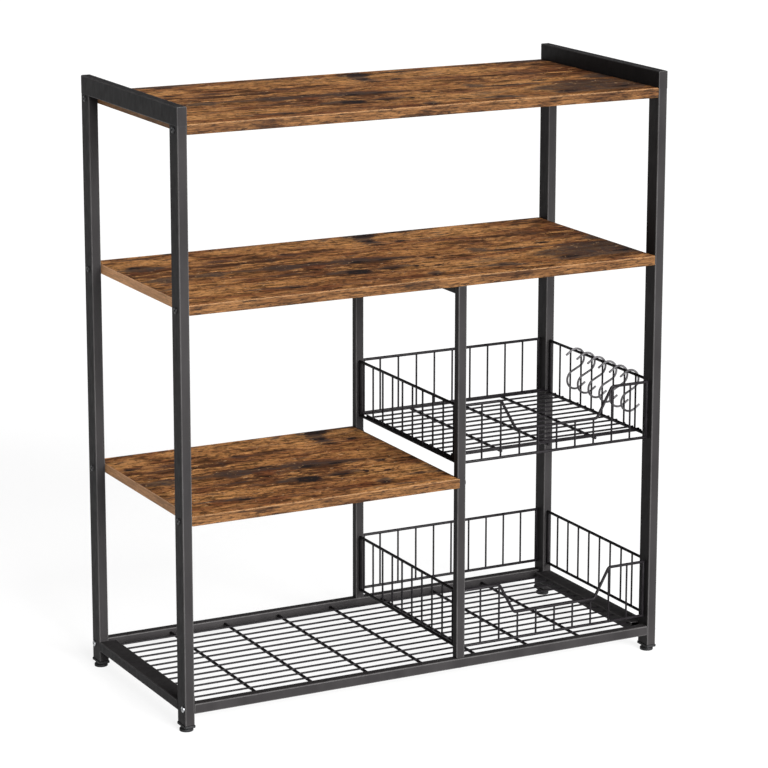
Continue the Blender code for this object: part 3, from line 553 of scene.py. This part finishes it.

# %% [markdown]
# ## Edge strips
# A darker strip of a like print is glued round each board's edge. Its grain runs along the edge,
# with thin lines, dark dashes and an orange tint, and a painted highlight lightens it in patches
# along the rounded arris on top. On the front the grain follows X, on the ends Y, so the strip's
# noise reads X plus Y as the way along. Painted light makes the ends paler than the fronts, those
# of the short board a little less so and those of the top board much less.

# %% Finish of the edge strips
# STRIP_ARRIS_HIGHLIGHT and the ARRIS_HIGHLIGHT values paint a highlight along the top arris: its colour,
# where it starts and is full below the top, and how much it shows.
STRIP_PALE = (0.118, 0.055, 0.0200)
STRIP_MIDDLE = (0.080, 0.035, 0.0125)
STRIP_DEEP = (0.036, 0.0150, 0.0060)
STRIP_DASH = (0.010, 0.0055, 0.0035)
STRIP_ARRIS_HIGHLIGHT = (0.190, 0.105, 0.050)
ARRIS_HIGHLIGHT_START = 0.0022
ARRIS_HIGHLIGHT_FULL = 0.0012
ARRIS_HIGHLIGHT_MOST = 0.6
# Painted light on the board ends: the colour is divided by the first tone to lighten it, then half mixed with
# the second.
END_PAINTED_LIGHT_DIVISOR = (0.22, 0.20, 0.15)
END_PAINTED_LIGHT_TONE = (0.66, 0.36, 0.175)
# Each noise: stretch along and up the strip, and then as for the face.
STRIP_NOISES = {
    "broad": (9.0, 40.0, 1.0, 6.0, 0.68, 0.3), "lines": (24.0, 420.0, 2.0, 8.0, 0.70, 0.5),
    "flecks": (90.0, 500.0, 5.0, 4.0, 0.7, 0.0), "dashes": (45.0, 300.0, 3.0, 6.0, 0.66, 0.0),
    "marks": (14.0, 60.0, 4.0, 8.0, 0.72, 1.0),
}


def edge_strip(name, sheet_shift, top, painted_end_light):
    """The glued edge: finer and darker than the face; painted light on its ends, a painted highlight on its
    top arris.
    """
    finish, tree = new_finish(name, Specular_IOR_Level=0.05)
    place = node(tree, "SeparateXYZ", {"Vector": node(tree, "TexCoord").outputs["Object"]}).outputs
    way_along = maths(tree, "ADD", maths(tree, "ADD", place["X"], place["Y"]), sheet_shift[0])

    def strip_noise(kind):
        along, upwards, number, *fine = STRIP_NOISES[kind]
        where = node(tree, "CombineXYZ", {"X": maths(tree, "MULTIPLY", way_along, along),
                                          "Y": maths(tree, "MULTIPLY", place["Z"], upwards), "Z": number})
        return noise(tree, where.outputs["Vector"], *fine)

    lines, flecks = strip_noise("lines"), strip_noise("flecks")
    broad = ramp(tree, strip_noise("broad"), (0.41, STRIP_DEEP), (0.47, STRIP_MIDDLE), (0.56, STRIP_PALE))
    lined = mix(tree, 1.0, broad, ramp(tree, lines, (0.41, 0.35), (0.49, 0.80), (0.55, 1.0)), "MULTIPLY")
    flecked = mix(tree, 1.0, lined, ramp(tree, flecks, (0.40, 0.45), (0.50, 1.0)), "MULTIPLY")
    dashed = cover(tree, flecked, strip_noise("dashes"), 0.56, 0.61, 0.9, STRIP_DASH)
    marked = cover(tree, dashed, strip_noise("marks"), 0.56, 0.63, 0.75, STRIP_DASH)
    # Painted highlight: the strip is lightened in broken patches along the rounded arris on top.
    near_top = node(tree, "MapRange", {"Value": place["Z"], "From Min": top - ARRIS_HIGHLIGHT_START,
                                       "From Max": top - ARRIS_HIGHLIGHT_FULL, "To Min": 0.0,
                                       "To Max": ARRIS_HIGHLIGHT_MOST}).outputs["Result"]
    arris_highlight = maths(tree, "MULTIPLY", near_top, ramp(tree, flecks, (0.40, 0.25), (0.52, 1.0)))
    fronts = mix(tree, arris_highlight, marked, STRIP_ARRIS_HIGHLIGHT)
    # Painted light on the ends: faces that look along X are lightened and paled, by the share each board
    # gives.
    sideways = node(tree, "SeparateXYZ", {"Vector": node(tree, "TexCoord").outputs["Normal"]}).outputs["X"]
    on_end = ramp(tree, maths(tree, "ABSOLUTE", sideways), (0.60, 0.0), (0.80, 1.0))
    painted_end_lit = mix(tree, 0.50, mix(tree, 1.0, fronts, END_PAINTED_LIGHT_DIVISOR, "DIVIDE"), END_PAINTED_LIGHT_TONE)
    colour = mix(tree, maths(tree, "MULTIPLY", on_end, painted_end_light), fronts, painted_end_lit)
    wear_the(tree, colour, ramp(tree, lines, (0.3, 0.60), (0.7, 0.46)), lines, FINE_GRAIN)
    return finish


print("noises in the strip:", len(STRIP_NOISES))

# %% [markdown]
# ## Boards
# A board is its outline drawn out to 15 mm with every edge slightly rounded. The short board has
# notches round the two middle posts. Bevelling in the mesh keeps the rounding the same on the
# notches, and the faces that don't lie flat get the edge strip's finish.

# %% Make the boards
EDGE_ROUND = 0.0009
MIDDLE_BOARD_SHIFT = (-0.018, -0.018)
SHORT_BOARD_SHIFT = (0.064, -0.022)
# How much painted light the ends of the top and the short board get; the middle board's get the full share.
TOP_PAINTED_END_LIGHT = 0.25
SHORT_PAINTED_END_LIGHT = 0.70
POST_GAP = 0.0003


def make_board(name, outline, sheet_shift, painted_end_light=1.0):
    """A board with rounded edges in its measured place. The outline is counter-clockwise (x, y)."""
    low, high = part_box(name)
    work = bmesh.new()
    skin(work, [[Vector((x, y, z)) for x, y in outline] for z in (low.z, high.z)],
         cap_first=True, cap_last=True)
    bmesh.ops.bevel(work, geom=work.edges[:], offset=EDGE_ROUND, segments=3, profile=0.5, affect="EDGES")
    for face in work.faces:
        face.normal_update()
        face.material_index = 0 if abs(face.normal.z) > 0.95 else 1
    finishes = [board_face(name + "_face", sheet_shift),
                edge_strip(name + "_strip", sheet_shift, high.z, painted_end_light)]
    return finish_piece(name + "_printed", work, finishes, name, sharp=60.0)


def plain_outline(name):
    """The four corners of a measured part's box."""
    low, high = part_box(name)
    return [(low.x, low.y), (high.x, low.y), (high.x, high.y), (low.x, high.y)]


middle_low, middle_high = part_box("middle_post_rear")
short_low, short_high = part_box("board_short")
notch_x = middle_low.x - POST_GAP
notch_in, notch_out = middle_low.y - POST_GAP, middle_high.y + POST_GAP
short_outline = [(short_low.x, short_low.y), (short_high.x, short_low.y)]
for y_from, y_to in ((-notch_out, -notch_in), (notch_in, notch_out)):
    short_outline += [(short_high.x, y_from), (notch_x, y_from), (notch_x, y_to), (short_high.x, y_to)]
short_outline += [(short_high.x, short_high.y), (short_low.x, short_high.y)]

make_board("board_top", plain_outline("board_top"), (0.0, 0.0), TOP_PAINTED_END_LIGHT)
make_board("board_middle", plain_outline("board_middle"), MIDDLE_BOARD_SHIFT)
make_board("board_short", short_outline, SHORT_BOARD_SHIFT, SHORT_PAINTED_END_LIGHT)
print("boards made, short board's outline has", len(short_outline), "corners")

# %% [markdown]
# ## Bolts
# Button-head bolts hold the boards: a low dome with a six-sided socket, on a plain shank. The
# dome is turned from a few rings. The socket needs a six-sided ring inside a round one, so both
# get the same number of points, and the skin between them closes without a boolean cut. The
# bolts of the lower rails and of the middle posts are bright zinc, the others are black.

# %% Finishes of the bolts
BOLT_GRAIN = 0.00003
BLACK_TONES = ((0.35, (0.012, 0.012, 0.013)), (0.7, (0.035, 0.034, 0.036)))
ZINC_TONES = ((0.3, (0.22, 0.225, 0.235)), (0.65, (0.42, 0.43, 0.44)))


def bolt_black(name):
    """Black oxide: nearly even, with a faint rub."""
    finish, tree = new_finish(name, Metallic=0.6, Specular_IOR_Level=0.4)
    cloud = noise_on_part(tree, 400.0)
    rub = noise_on_part(tree, (3000.0, 900.0, 900.0), 2.0)
    wear_the(tree, ramp(tree, cloud, *BLACK_TONES), ramp(tree, cloud, (0.3, 0.34), (0.7, 0.52)), rub,
             BOLT_GRAIN, strength=0.4)
    return finish


def bright_zinc(name):
    """Zinc plate: bright, slightly blue, with fine turning lines and a few dull spots."""
    finish, tree = new_finish(name, Metallic=1.0)
    cloud = noise_on_part(tree, 350.0, 5.0)
    lines = noise_on_part(tree, (300.0, 4000.0, 4000.0), 2.0)
    wear_the(tree, ramp(tree, cloud, *ZINC_TONES), ramp(tree, cloud, (0.3, 0.40), (0.7, 0.22)), lines,
             BOLT_GRAIN)
    return finish


black_bolt_finish = bolt_black("black_bolt")
zinc_finish = bright_zinc("bright_zinc")
print("bolt finishes:", black_bolt_finish.name, zinc_finish.name)

# %% Make the bolts
HEAD_RADIUS = 0.00475
HEAD_HEIGHT = 0.0016
HEAD_RIM = 0.0005
DOME_START = 0.0028
DOME_STEPS = 6
SOCKET_ACROSS = 0.0019
SOCKET_DEEP = 0.0011
SOCKET_EDGE = 0.0001
SHANK_RADIUS = 0.0030
SHANK_TIP = 0.0005
BOLT_SIDES = 24


def circle(radius, height, sides=BOLT_SIDES):
    """A ring of points round Z."""
    turns = [2 * math.pi * i / sides for i in range(sides)]
    return [Vector((radius * math.cos(turn), radius * math.sin(turn), height)) for turn in turns]


def hexagon(radius, height):
    """The same number of points as a circle, moved in to the sides of a hexagon."""
    points = []
    for point in circle(1.0, 0.0):
        angle = math.atan2(point.y, point.x)
        off_middle = (angle % (math.pi / 3)) - math.pi / 6
        points.append(Vector((point.x, point.y, 0.0)) * radius * math.cos(math.pi / 6) / math.cos(off_middle)
                      + Vector((0.0, 0.0, height)))
    return points


def bolt_rings(length):
    """From the bottom of the socket over the dome and down the shank to its tip."""
    rings = [hexagon(SOCKET_ACROSS, HEAD_HEIGHT - SOCKET_DEEP),
             hexagon(SOCKET_ACROSS, HEAD_HEIGHT - SOCKET_EDGE),
             hexagon(SOCKET_ACROSS + SOCKET_EDGE, HEAD_HEIGHT)]
    for step in range(DOME_STEPS + 1):
        t = step / DOME_STEPS * math.pi / 2
        rings.append(circle(DOME_START + (HEAD_RADIUS - DOME_START) * math.sin(t),
                            HEAD_RIM + (HEAD_HEIGHT - HEAD_RIM) * math.cos(t)))
    rings += [circle(HEAD_RADIUS, 0.0), circle(SHANK_RADIUS, 0.0), circle(SHANK_RADIUS, SHANK_TIP - length),
              circle(SHANK_RADIUS - SHANK_TIP, -length)]
    return rings


def make_bolt(name, outwards, finish):
    """A bolt whose head lies at one end of its measured part's box and looks outwards."""
    low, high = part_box(name)
    axis = Vector(outwards)
    reach = abs((high - low).dot(axis))
    head_end = (low + high) / 2 + axis * reach / 2
    work = bmesh.new()
    skin(work, bolt_rings(reach - HEAD_HEIGHT), cap_first=True, cap_last=True)
    turned = axis.to_track_quat("Z", "Y").to_matrix().to_4x4()
    bmesh.ops.transform(work, verts=work.verts, space=Matrix.Identity(4),
                        matrix=Matrix.Translation(head_end - axis * HEAD_HEIGHT) @ turned)
    return finish_piece(name + "_turned", work, [finish], name, sharp=35.0)


bolt_names = [name for name in sorted(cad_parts) if name.startswith("bolt_")]
for node_name in bolt_names:
    if node_name.startswith(("bolt_middle_post", "bolt_middle_bar")):
        way = (0.0, 0.0, -1.0)
    elif "_left_" in node_name:
        way = (-1.0, 0.0, 0.0)
    else:
        way = (1.0, 0.0, 0.0)
    if node_name.startswith(("bolt_rail", "bolt_middle_post")):
        make_bolt(node_name, way, zinc_finish)
    else:
        make_bolt(node_name, way, black_bolt_finish)
print("bolts:", len(bolt_names))

# %% [markdown]
# ## Welded wire
# The grid, the basket floor and the fences are round steel wire, spot-welded where two wires
# cross and then coated black. The coat adds a quarter of a millimetre to each wire all round. A
# curve with a round bevel makes such wires fast, but its ends are cut flat. Here rings of points
# are swept along each wire, the ends are rounded over as the coat leaves them, and a small bead
# sits at every weld.

# %% Wire finish
def wire_coat(name, dark, light, gloss):
    """Smooth coat on wire: dark, half-glossy, with thick and thin places."""
    finish, tree = new_finish(name, Specular_IOR_Level=0.07)
    cloud = noise_on_part(tree, 70.0)
    wear_the(tree, ramp(tree, cloud, (0.35, dark), (0.7, light)),
             ramp(tree, cloud, (0.3, gloss - 0.06), (0.7, gloss + 0.10)), noise_on_part(tree, 500.0, 3.0),
             FINE_GRAIN)
    return finish


wire_finish = wire_coat("black_wire_coat", (0.0044, 0.0037, 0.0044), (0.0084, 0.0074, 0.0084), 0.42)
print("wire finish:", wire_finish.name)

# %% Sweeping a wire and placing weld beads
THICK = 0.0040
THIN = 0.0025
COAT_BUILD = 0.00025
WIRE_SIDES = 14
NOSE_SHARE = 0.6
# Rings of a rounded end: how far in along the nose, and how wide, as shares.
NOSE_RINGS = ((0.0, 0.5), (0.35, 0.87), (1.0, 1.0))


def sweep_wire(work, path, diameter, sides=WIRE_SIDES):
    """Adds a round wire along the path's points, with its coat, and its ends rounded over."""
    radius = diameter / 2 + COAT_BUILD
    ways = [(b - a).normalized() for a, b in zip(path, path[1:])]
    helper = Vector((0.0, 0.0, 1.0)) if abs(ways[0].z) < 0.9 else Vector((1.0, 0.0, 0.0))
    side = ways[0].cross(helper).normalized()
    frames = []
    for index, point in enumerate(path):
        before = ways[max(index - 1, 0)]
        after = ways[min(index, len(ways) - 1)]
        way = (before + after).normalized()
        side = (side - way * side.dot(way)).normalized()
        frames.append((point, way, side, radius))
    nose = radius * NOSE_SHARE

    def nose_ring(end, inwards, back, width):
        point, way, across, size = end
        return point + way * inwards * nose * back, way, across, size * width

    start = [nose_ring(frames[0], 1, *shares) for shares in NOSE_RINGS]
    stop = [nose_ring(frames[-1], -1, *shares) for shares in reversed(NOSE_RINGS)]
    rings = []
    for point, way, across, size in start + frames[1:-1] + stop:
        other = way.cross(across)
        rings.append([point + size * (across * math.cos(2 * math.pi * i / sides)
                                      + other * math.sin(2 * math.pi * i / sides)) for i in range(sides)])
    skin(work, rings, cap_first=True, cap_last=True)


def weld_bead(work, place, half_sizes):
    """Adds a small bead of melted wire and coat round a weld."""
    matrix = Matrix.Translation(place) @ Matrix.Diagonal((*half_sizes, 1.0))
    bmesh.ops.create_uvsphere(work, u_segments=10, v_segments=6, radius=1.0, matrix=matrix)


def finish_wires(name, work):
    """The finished piece of black wires that stands for the measured part of the same name."""
    return finish_piece(name + "_wires", work, [wire_finish], name, sharp=50.0,
                        flat_faces=False)


print("thick wire", THICK, "thin wire", THIN)

# %% [markdown]
# ## Bottom grid
# Thin wires run along the shelf and lie on seven thicker bearers, pressed a little into them by
# the welding. Everything is placed from the measured part's box and two pitches.

# %% Make the bottom grid
WELD_SINK = 0.0006
GRID_COUNT = 13
GRID_PITCH = 0.0225
BEARER_COUNT = 7
BEARER_PITCH = 0.092
CROSS_BEAD = (0.0019, 0.0017, 0.0007)
STACK = THICK / 2 + THIN / 2 - WELD_SINK


def row(count, pitch):
    """Places of a row of copies round zero."""
    return [(i - (count - 1) / 2) * pitch for i in range(count)]


low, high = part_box("bottom_grid")
bearer_z = low.z + THICK / 2
work = bmesh.new()
for y in row(GRID_COUNT, GRID_PITCH):
    sweep_wire(work, [Vector((low.x, y, bearer_z + STACK)), Vector((high.x, y, bearer_z + STACK))], THIN)
for x in row(BEARER_COUNT, BEARER_PITCH):
    sweep_wire(work, [Vector((x, low.y, bearer_z)), Vector((x, high.y, bearer_z))], THICK)
    for y in row(GRID_COUNT, GRID_PITCH):
        weld_bead(work, Vector((x, y, bearer_z + THICK / 2 - WELD_SINK / 2)), CROSS_BEAD)
grid = finish_wires("bottom_grid", work)
print("grid vertices:", len(grid.data.vertices))

# %% [markdown]
# ## Basket fences
# A fence is a rim and a foot wire joined by thin upright bars, with a thick wire at each end.
# The front one's rim dips in the middle so that things can be reached. The rim is one bent wire,
# so its corners are arcs, and each bar stops at the rim's middle line.

# %% Make the fences
FENCE_HEIGHT = 0.0875
DIP = 0.0468
DIP_HALF = 0.071
DIP_RUN = 0.026
BEND_RADIUS = 0.006
END_INSET = 0.0006
FRONT_BARS = 9
LEFT_BARS = 10
RIGHT_BARS = 8
BAR_BEAD = (0.0017, 0.0017, 0.0009)
BEAD_SHARE = 0.42


def bent(corners, radius, steps=7):
    """Points along straight runs whose corners are bent to arcs."""
    points = [corners[0]]
    for before, corner, after in zip(corners, corners[1:], corners[2:]):
        to_start = (before - corner).normalized()
        to_end = (after - corner).normalized()
        half_angle = to_start.angle(to_end) / 2
        centre = corner + (to_start + to_end).normalized() * radius / math.sin(half_angle)
        first = corner + to_start * radius / math.tan(half_angle) - centre
        last = corner + to_end * radius / math.tan(half_angle) - centre
        points += [centre + radius * first.slerp(last, step / steps) for step in range(steps + 1)]
    points.append(corners[-1])
    return points


def make_fence(name, along, bar_count, bar_pitch, dipped=False):
    """One side of a basket along x or y, from its measured part's box."""
    low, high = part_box(name)
    way = Vector((1.0, 0.0, 0.0)) if along == "x" else Vector((0.0, 1.0, 0.0))
    middle = (low + high) / 2
    origin = Vector((middle.x, middle.y, low.z + THICK / 2))
    half = abs((high - low).dot(way)) / 2

    def at(s, z):
        return origin + way * s + Vector((0.0, 0.0, z))

    rim = [at(-half, FENCE_HEIGHT), at(half, FENCE_HEIGHT)]
    if dipped:
        shoulder = DIP_HALF + DIP_RUN
        rim = bent([at(-half, FENCE_HEIGHT), at(-shoulder, FENCE_HEIGHT), at(-DIP_HALF, FENCE_HEIGHT - DIP),
                    at(DIP_HALF, FENCE_HEIGHT - DIP), at(shoulder, FENCE_HEIGHT), at(half, FENCE_HEIGHT)],
                   BEND_RADIUS)
    work = bmesh.new()
    sweep_wire(work, rim, THICK)
    sweep_wire(work, [at(-half, 0.0), at(half, 0.0)], THICK)
    end = half - THICK / 2 - END_INSET
    for s in (-end, end):
        sweep_wire(work, [at(s, 0.0), at(s, FENCE_HEIGHT)], THICK)
    for s in row(bar_count, bar_pitch):
        top = FENCE_HEIGHT
        if dipped and abs(s) < DIP_HALF + DIP_RUN:
            top = max(FENCE_HEIGHT - DIP, FENCE_HEIGHT - DIP + (abs(s) - DIP_HALF) / DIP_RUN * DIP)
        sweep_wire(work, [at(s, 0.0), at(s, top)], THIN)
        for z, side in ((0.0, 1.0), (top, -1.0)):
            weld_bead(work, at(s, z + side * THICK * BEAD_SHARE), BAR_BEAD)
    return finish_wires(name, work)


bay_start, bay_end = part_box("middle_post_front")[1].x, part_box("post_right_front")[0].x
FRONT_PITCH = (bay_end - bay_start) / (FRONT_BARS + 1)
SIDE_PITCH = 2 * abs(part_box("post_right_front")[1].y) / (RIGHT_BARS + 1)
for basket in ("upper", "lower"):
    make_fence(f"{basket}_fence_front", "x", FRONT_BARS, FRONT_PITCH, dipped=True)
    make_fence(f"{basket}_fence_rear", "x", FRONT_BARS, FRONT_PITCH)
    make_fence(f"{basket}_fence_left", "y", LEFT_BARS, SIDE_PITCH)
    make_fence(f"{basket}_fence_right", "y", RIGHT_BARS, SIDE_PITCH)
print("fence bars every", round(FRONT_PITCH, 5), "and", round(SIDE_PITCH, 5), "m")

# %% [markdown]
# ## Floor of the upper basket
# The floor lies on the foot wires of the side fences: two side wires and three bearers run front
# to back, thin wires cross them, and a thick wire closes it at the front and at the back.

# %% Make the basket floor
FLOOR_PITCH = 0.0235
FLOOR_COUNT = 13
FLOOR_BACK = 0.004
SIDE_LEFT = 0.05705
SIDE_RIGHT = 0.38895
SIDE_END = 0.1418
BEARER_OUT = 0.003
FRONT_WIRE_IN = 0.004
BACK_WIRE_OUT = 0.0065
low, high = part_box("upper_basket_floor")
level = low.z + THICK / 2
wire_ys = [y + FLOOR_BACK for y in row(FLOOR_COUNT, FLOOR_PITCH)]
front_y, back_y = wire_ys[0] + FRONT_WIRE_IN, wire_ys[-1] + BACK_WIRE_OUT
bearer_start = wire_ys[0] - BEARER_OUT
thin_left, thin_right = SIDE_LEFT - THIN / 2, SIDE_RIGHT + THIN / 2
thin_level = level + STACK
cross_level = level + THICK - WELD_SINK
bearer_step = (SIDE_RIGHT - SIDE_LEFT) / 4

work = bmesh.new()
length_wires = [(SIDE_LEFT, SIDE_END), (SIDE_RIGHT, SIDE_END)]
length_wires += [((SIDE_LEFT + SIDE_RIGHT) / 2 + k * bearer_step, back_y + THICK / 2) for k in (-1, 0, 1)]
for x, y_end in length_wires:
    sweep_wire(work, [Vector((x, bearer_start, level)), Vector((x, y_end, level))], THICK)
for y in wire_ys:
    sweep_wire(work, [Vector((thin_left, y, thin_level)), Vector((thin_right, y, thin_level))], THIN)
    for x, _ in length_wires:
        weld_bead(work, Vector((x, y, level + THICK / 2 - WELD_SINK / 2)), CROSS_BEAD)
for x_from, x_to, y in ((SIDE_LEFT, SIDE_RIGHT, front_y), (low.x, high.x, back_y)):
    sweep_wire(work, [Vector((x_from, y, cross_level)), Vector((x_to, y, cross_level))], THICK)
finish_wires("upper_basket_floor", work)
print("basket floor wires:", len(length_wires) + len(wire_ys) + 2)

# %% [markdown]
# ## S-hooks
# Each hook is one wire bent into two bows with a slanting shank between them. Past each bow the
# wire runs on straight, flared outwards, to a rounded tip. It hangs on the rim and swings about
# it, so it rides on its own body. It is a little larger than its measured part, as the picture
# shows it, and its grey coat is lighter than the black of the baskets.

# %% Make the S-hooks
HOOK_COUNT = 6
HOOK_RADIUS = 0.0155
HOOK_TALL = 0.0684
HOOK_WIRE = 0.0029
HOOK_SIDES = 16
HOOK_TIP = 0.0115
HOOK_GAP = 0.0003
HOOK_RISE = (THICK + HOOK_WIRE) / 2 + 2 * COAT_BUILD + HOOK_GAP
TIP_ANGLE = math.radians(124.0)
TIP_SHARES = (1.0, 0.75, 0.5, 0.25)
hook_finish = wire_coat("grey_hook_coat", (0.040, 0.038, 0.040), (0.085, 0.082, 0.086), 0.34)


def hook_line(tip_steps=8, bow_steps=22):
    """Middle line of an S-hook round the middle of the rim that it hangs on."""
    bow_distance = HOOK_TALL - HOOK_WIRE - 2 * HOOK_RADIUS
    upper = Vector((0.0, 0.0, HOOK_RISE - HOOK_RADIUS))
    lower = upper - Vector((0.0, 0.0, bow_distance))
    shank = math.acos(2 * HOOK_RADIUS / bow_distance) - math.pi / 2
    top = math.pi / 2
    angles = [TIP_ANGLE + (top - TIP_ANGLE) * i / tip_steps for i in range(tip_steps)]
    angles += [top + (shank - top) * i / bow_steps for i in range(bow_steps + 1)]
    half = [upper + HOOK_RADIUS * Vector((math.cos(a), 0.0, math.sin(a))) for a in angles]
    flare = Vector((-math.sin(TIP_ANGLE), 0.0, math.cos(TIP_ANGLE)))
    half = [half[0] + flare * HOOK_TIP * share for share in TIP_SHARES] + half
    return half + [upper + lower - point for point in reversed(half)]


rim_low, rim_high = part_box("upper_fence_right")
rim_middle = Vector(((rim_low.x + rim_high.x) / 2, 0.0, rim_high.z - THICK / 2))
for number in range(1, HOOK_COUNT + 1):
    name = f"s_hook_{number}"
    low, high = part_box(name)
    hangs_at = Vector((rim_middle.x, (low.y + high.y) / 2, rim_middle.z))
    work = bmesh.new()
    sweep_wire(work, [hangs_at + point for point in hook_line()], HOOK_WIRE, HOOK_SIDES)
    finish_piece(name + "_wire", work, [hook_finish], name, body=name, sharp=50.0,
                 flat_faces=False)
print("hooks hang", round(HOOK_TALL * 1000), "mm long on the rim at", round(rim_middle.z, 4))

# %% [markdown]
# ## Plugs and levelling feet
# A moulded plug closes the lower end of each post, and a foot screws into it. The foot is turned
# from rings: a pad with soft edges, a narrower neck, and a threaded stem that shows when the
# foot is screwed out. Both are black plastic with a fine spark-eroded texture.

# %% Plastic finish
PLASTIC_TONES = ((0.35, (0.005, 0.005, 0.0055)), (0.7, (0.011, 0.011, 0.0115)))


def moulded_plastic(name):
    """Black plastic: even, slightly shiny on worn spots, with fine mould texture."""
    finish, tree = new_finish(name, Specular_IOR_Level=0.15)
    cloud = noise_on_part(tree, 150.0)
    wear_the(tree, ramp(tree, cloud, *PLASTIC_TONES), ramp(tree, cloud, (0.3, 0.48), (0.7, 0.64)),
             noise_on_part(tree, 1800.0, 2.0), FINE_GRAIN)
    return finish


plastic = moulded_plastic("black_plastic")
print("plastic:", plastic.name)

# %% Make the plugs and feet
FLANGE_THICK = 0.0036
# Rings of the flange: inset, height over its underside or its top, and corner radius.
FLANGE_UNDER = ((0.0005, 0.0, 0.0016), (0.0001, 0.0002, 0.0019), (0.0, 0.0006, 0.0020))
FLANGE_OVER = ((0.0, -0.0006, 0.0020), (0.0002, -0.0002, 0.0018), (0.0006, 0.0, 0.0015))
FLANGE_LIP = 0.0010
PLUG_PLAY = 0.0003
PLUG_CORNER = 0.0006
BORE_RADIUS = 0.0033
PAD_RADIUS = 0.01025
NECK_RADIUS = 0.00825
PAD_TOP = 0.0042
NECK_TOP = 0.0068
NECK_EDGE = 0.0004
SOFT = 0.0008
STEM_RADIUS = 0.0030
STEM_TOP = 0.0288
THREAD_PITCH = 0.0010
THREAD_DEEP = 0.0004
FOOT_SIDES = 32


def make_plug(name):
    """The plug: a flange with soft edges and a body inside the post, bored through for the stem."""
    low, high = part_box(name)
    across, deep = high.x - low.x, high.y - low.y
    middle = Vector(((low.x + high.x) / 2, (low.y + high.y) / 2, 0.0))

    def ring(inset, z, corner):
        return [middle + Vector((x, y, z)) for x, y in
                rounded_outline(across - 2 * inset, deep - 2 * inset, corner)]

    def bore(z):
        nearly_round = rounded_outline(1.0, 1.0, 0.49)
        return [middle + Vector((x, y, 0.0)).normalized() * BORE_RADIUS + Vector((0.0, 0.0, z))
                for x, y in nearly_round]

    body_in = FLANGE_LIP + WALL + PLUG_PLAY
    flange_top = low.z + FLANGE_THICK
    rings = [bore(low.z)]
    rings += [ring(inset, low.z + rise, corner) for inset, rise, corner in FLANGE_UNDER]
    rings += [ring(inset, flange_top + rise, corner) for inset, rise, corner in FLANGE_OVER]
    rings += [ring(body_in, flange_top, PLUG_CORNER), ring(body_in, high.z, PLUG_CORNER), bore(high.z)]
    work = bmesh.new()
    skin(work, rings, closed=True)
    return finish_piece(name + "_moulded", work, [plastic], name, sharp=35.0)


def make_foot(name):
    """The levelling foot, turned round its stem."""
    low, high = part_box(name)
    middle = Vector(((low.x + high.x) / 2, (low.y + high.y) / 2, 0.0))
    profile = [(PAD_RADIUS - SOFT, 0.0)]
    profile += [(PAD_RADIUS - SOFT * (1 - math.sin(t)), SOFT * (1 - math.cos(t))) for t in QUARTER_TURN[1:]]
    profile += [(PAD_RADIUS - SOFT * (1 - math.cos(t)), PAD_TOP - SOFT * (1 - math.sin(t)))
                for t in QUARTER_TURN]
    profile += [(NECK_RADIUS + NECK_EDGE, PAD_TOP), (NECK_RADIUS, PAD_TOP + NECK_EDGE),
                (NECK_RADIUS, NECK_TOP - NECK_EDGE), (NECK_RADIUS - NECK_EDGE, NECK_TOP)]
    for turn in range(int((STEM_TOP - NECK_TOP) / THREAD_PITCH)):
        z = NECK_TOP + turn * THREAD_PITCH
        profile += [(STEM_RADIUS - THREAD_DEEP, z), (STEM_RADIUS, z + THREAD_PITCH / 2)]
    profile += [(STEM_RADIUS - THREAD_DEEP, STEM_TOP)]
    work = bmesh.new()
    skin(work, [[middle + point for point in circle(radius, z, FOOT_SIDES)] for radius, z in profile],
         cap_first=True, cap_last=True)
    return finish_piece(name + "_turned", work, [plastic], name, body=name,
                        sharp=50.0)


for side_name in ("left", "right"):
    for end_name in ("front", "rear"):
        make_plug(f"plug_{side_name}_{end_name}")
        make_foot(f"foot_{side_name}_{end_name}")
print("plugs and feet made")
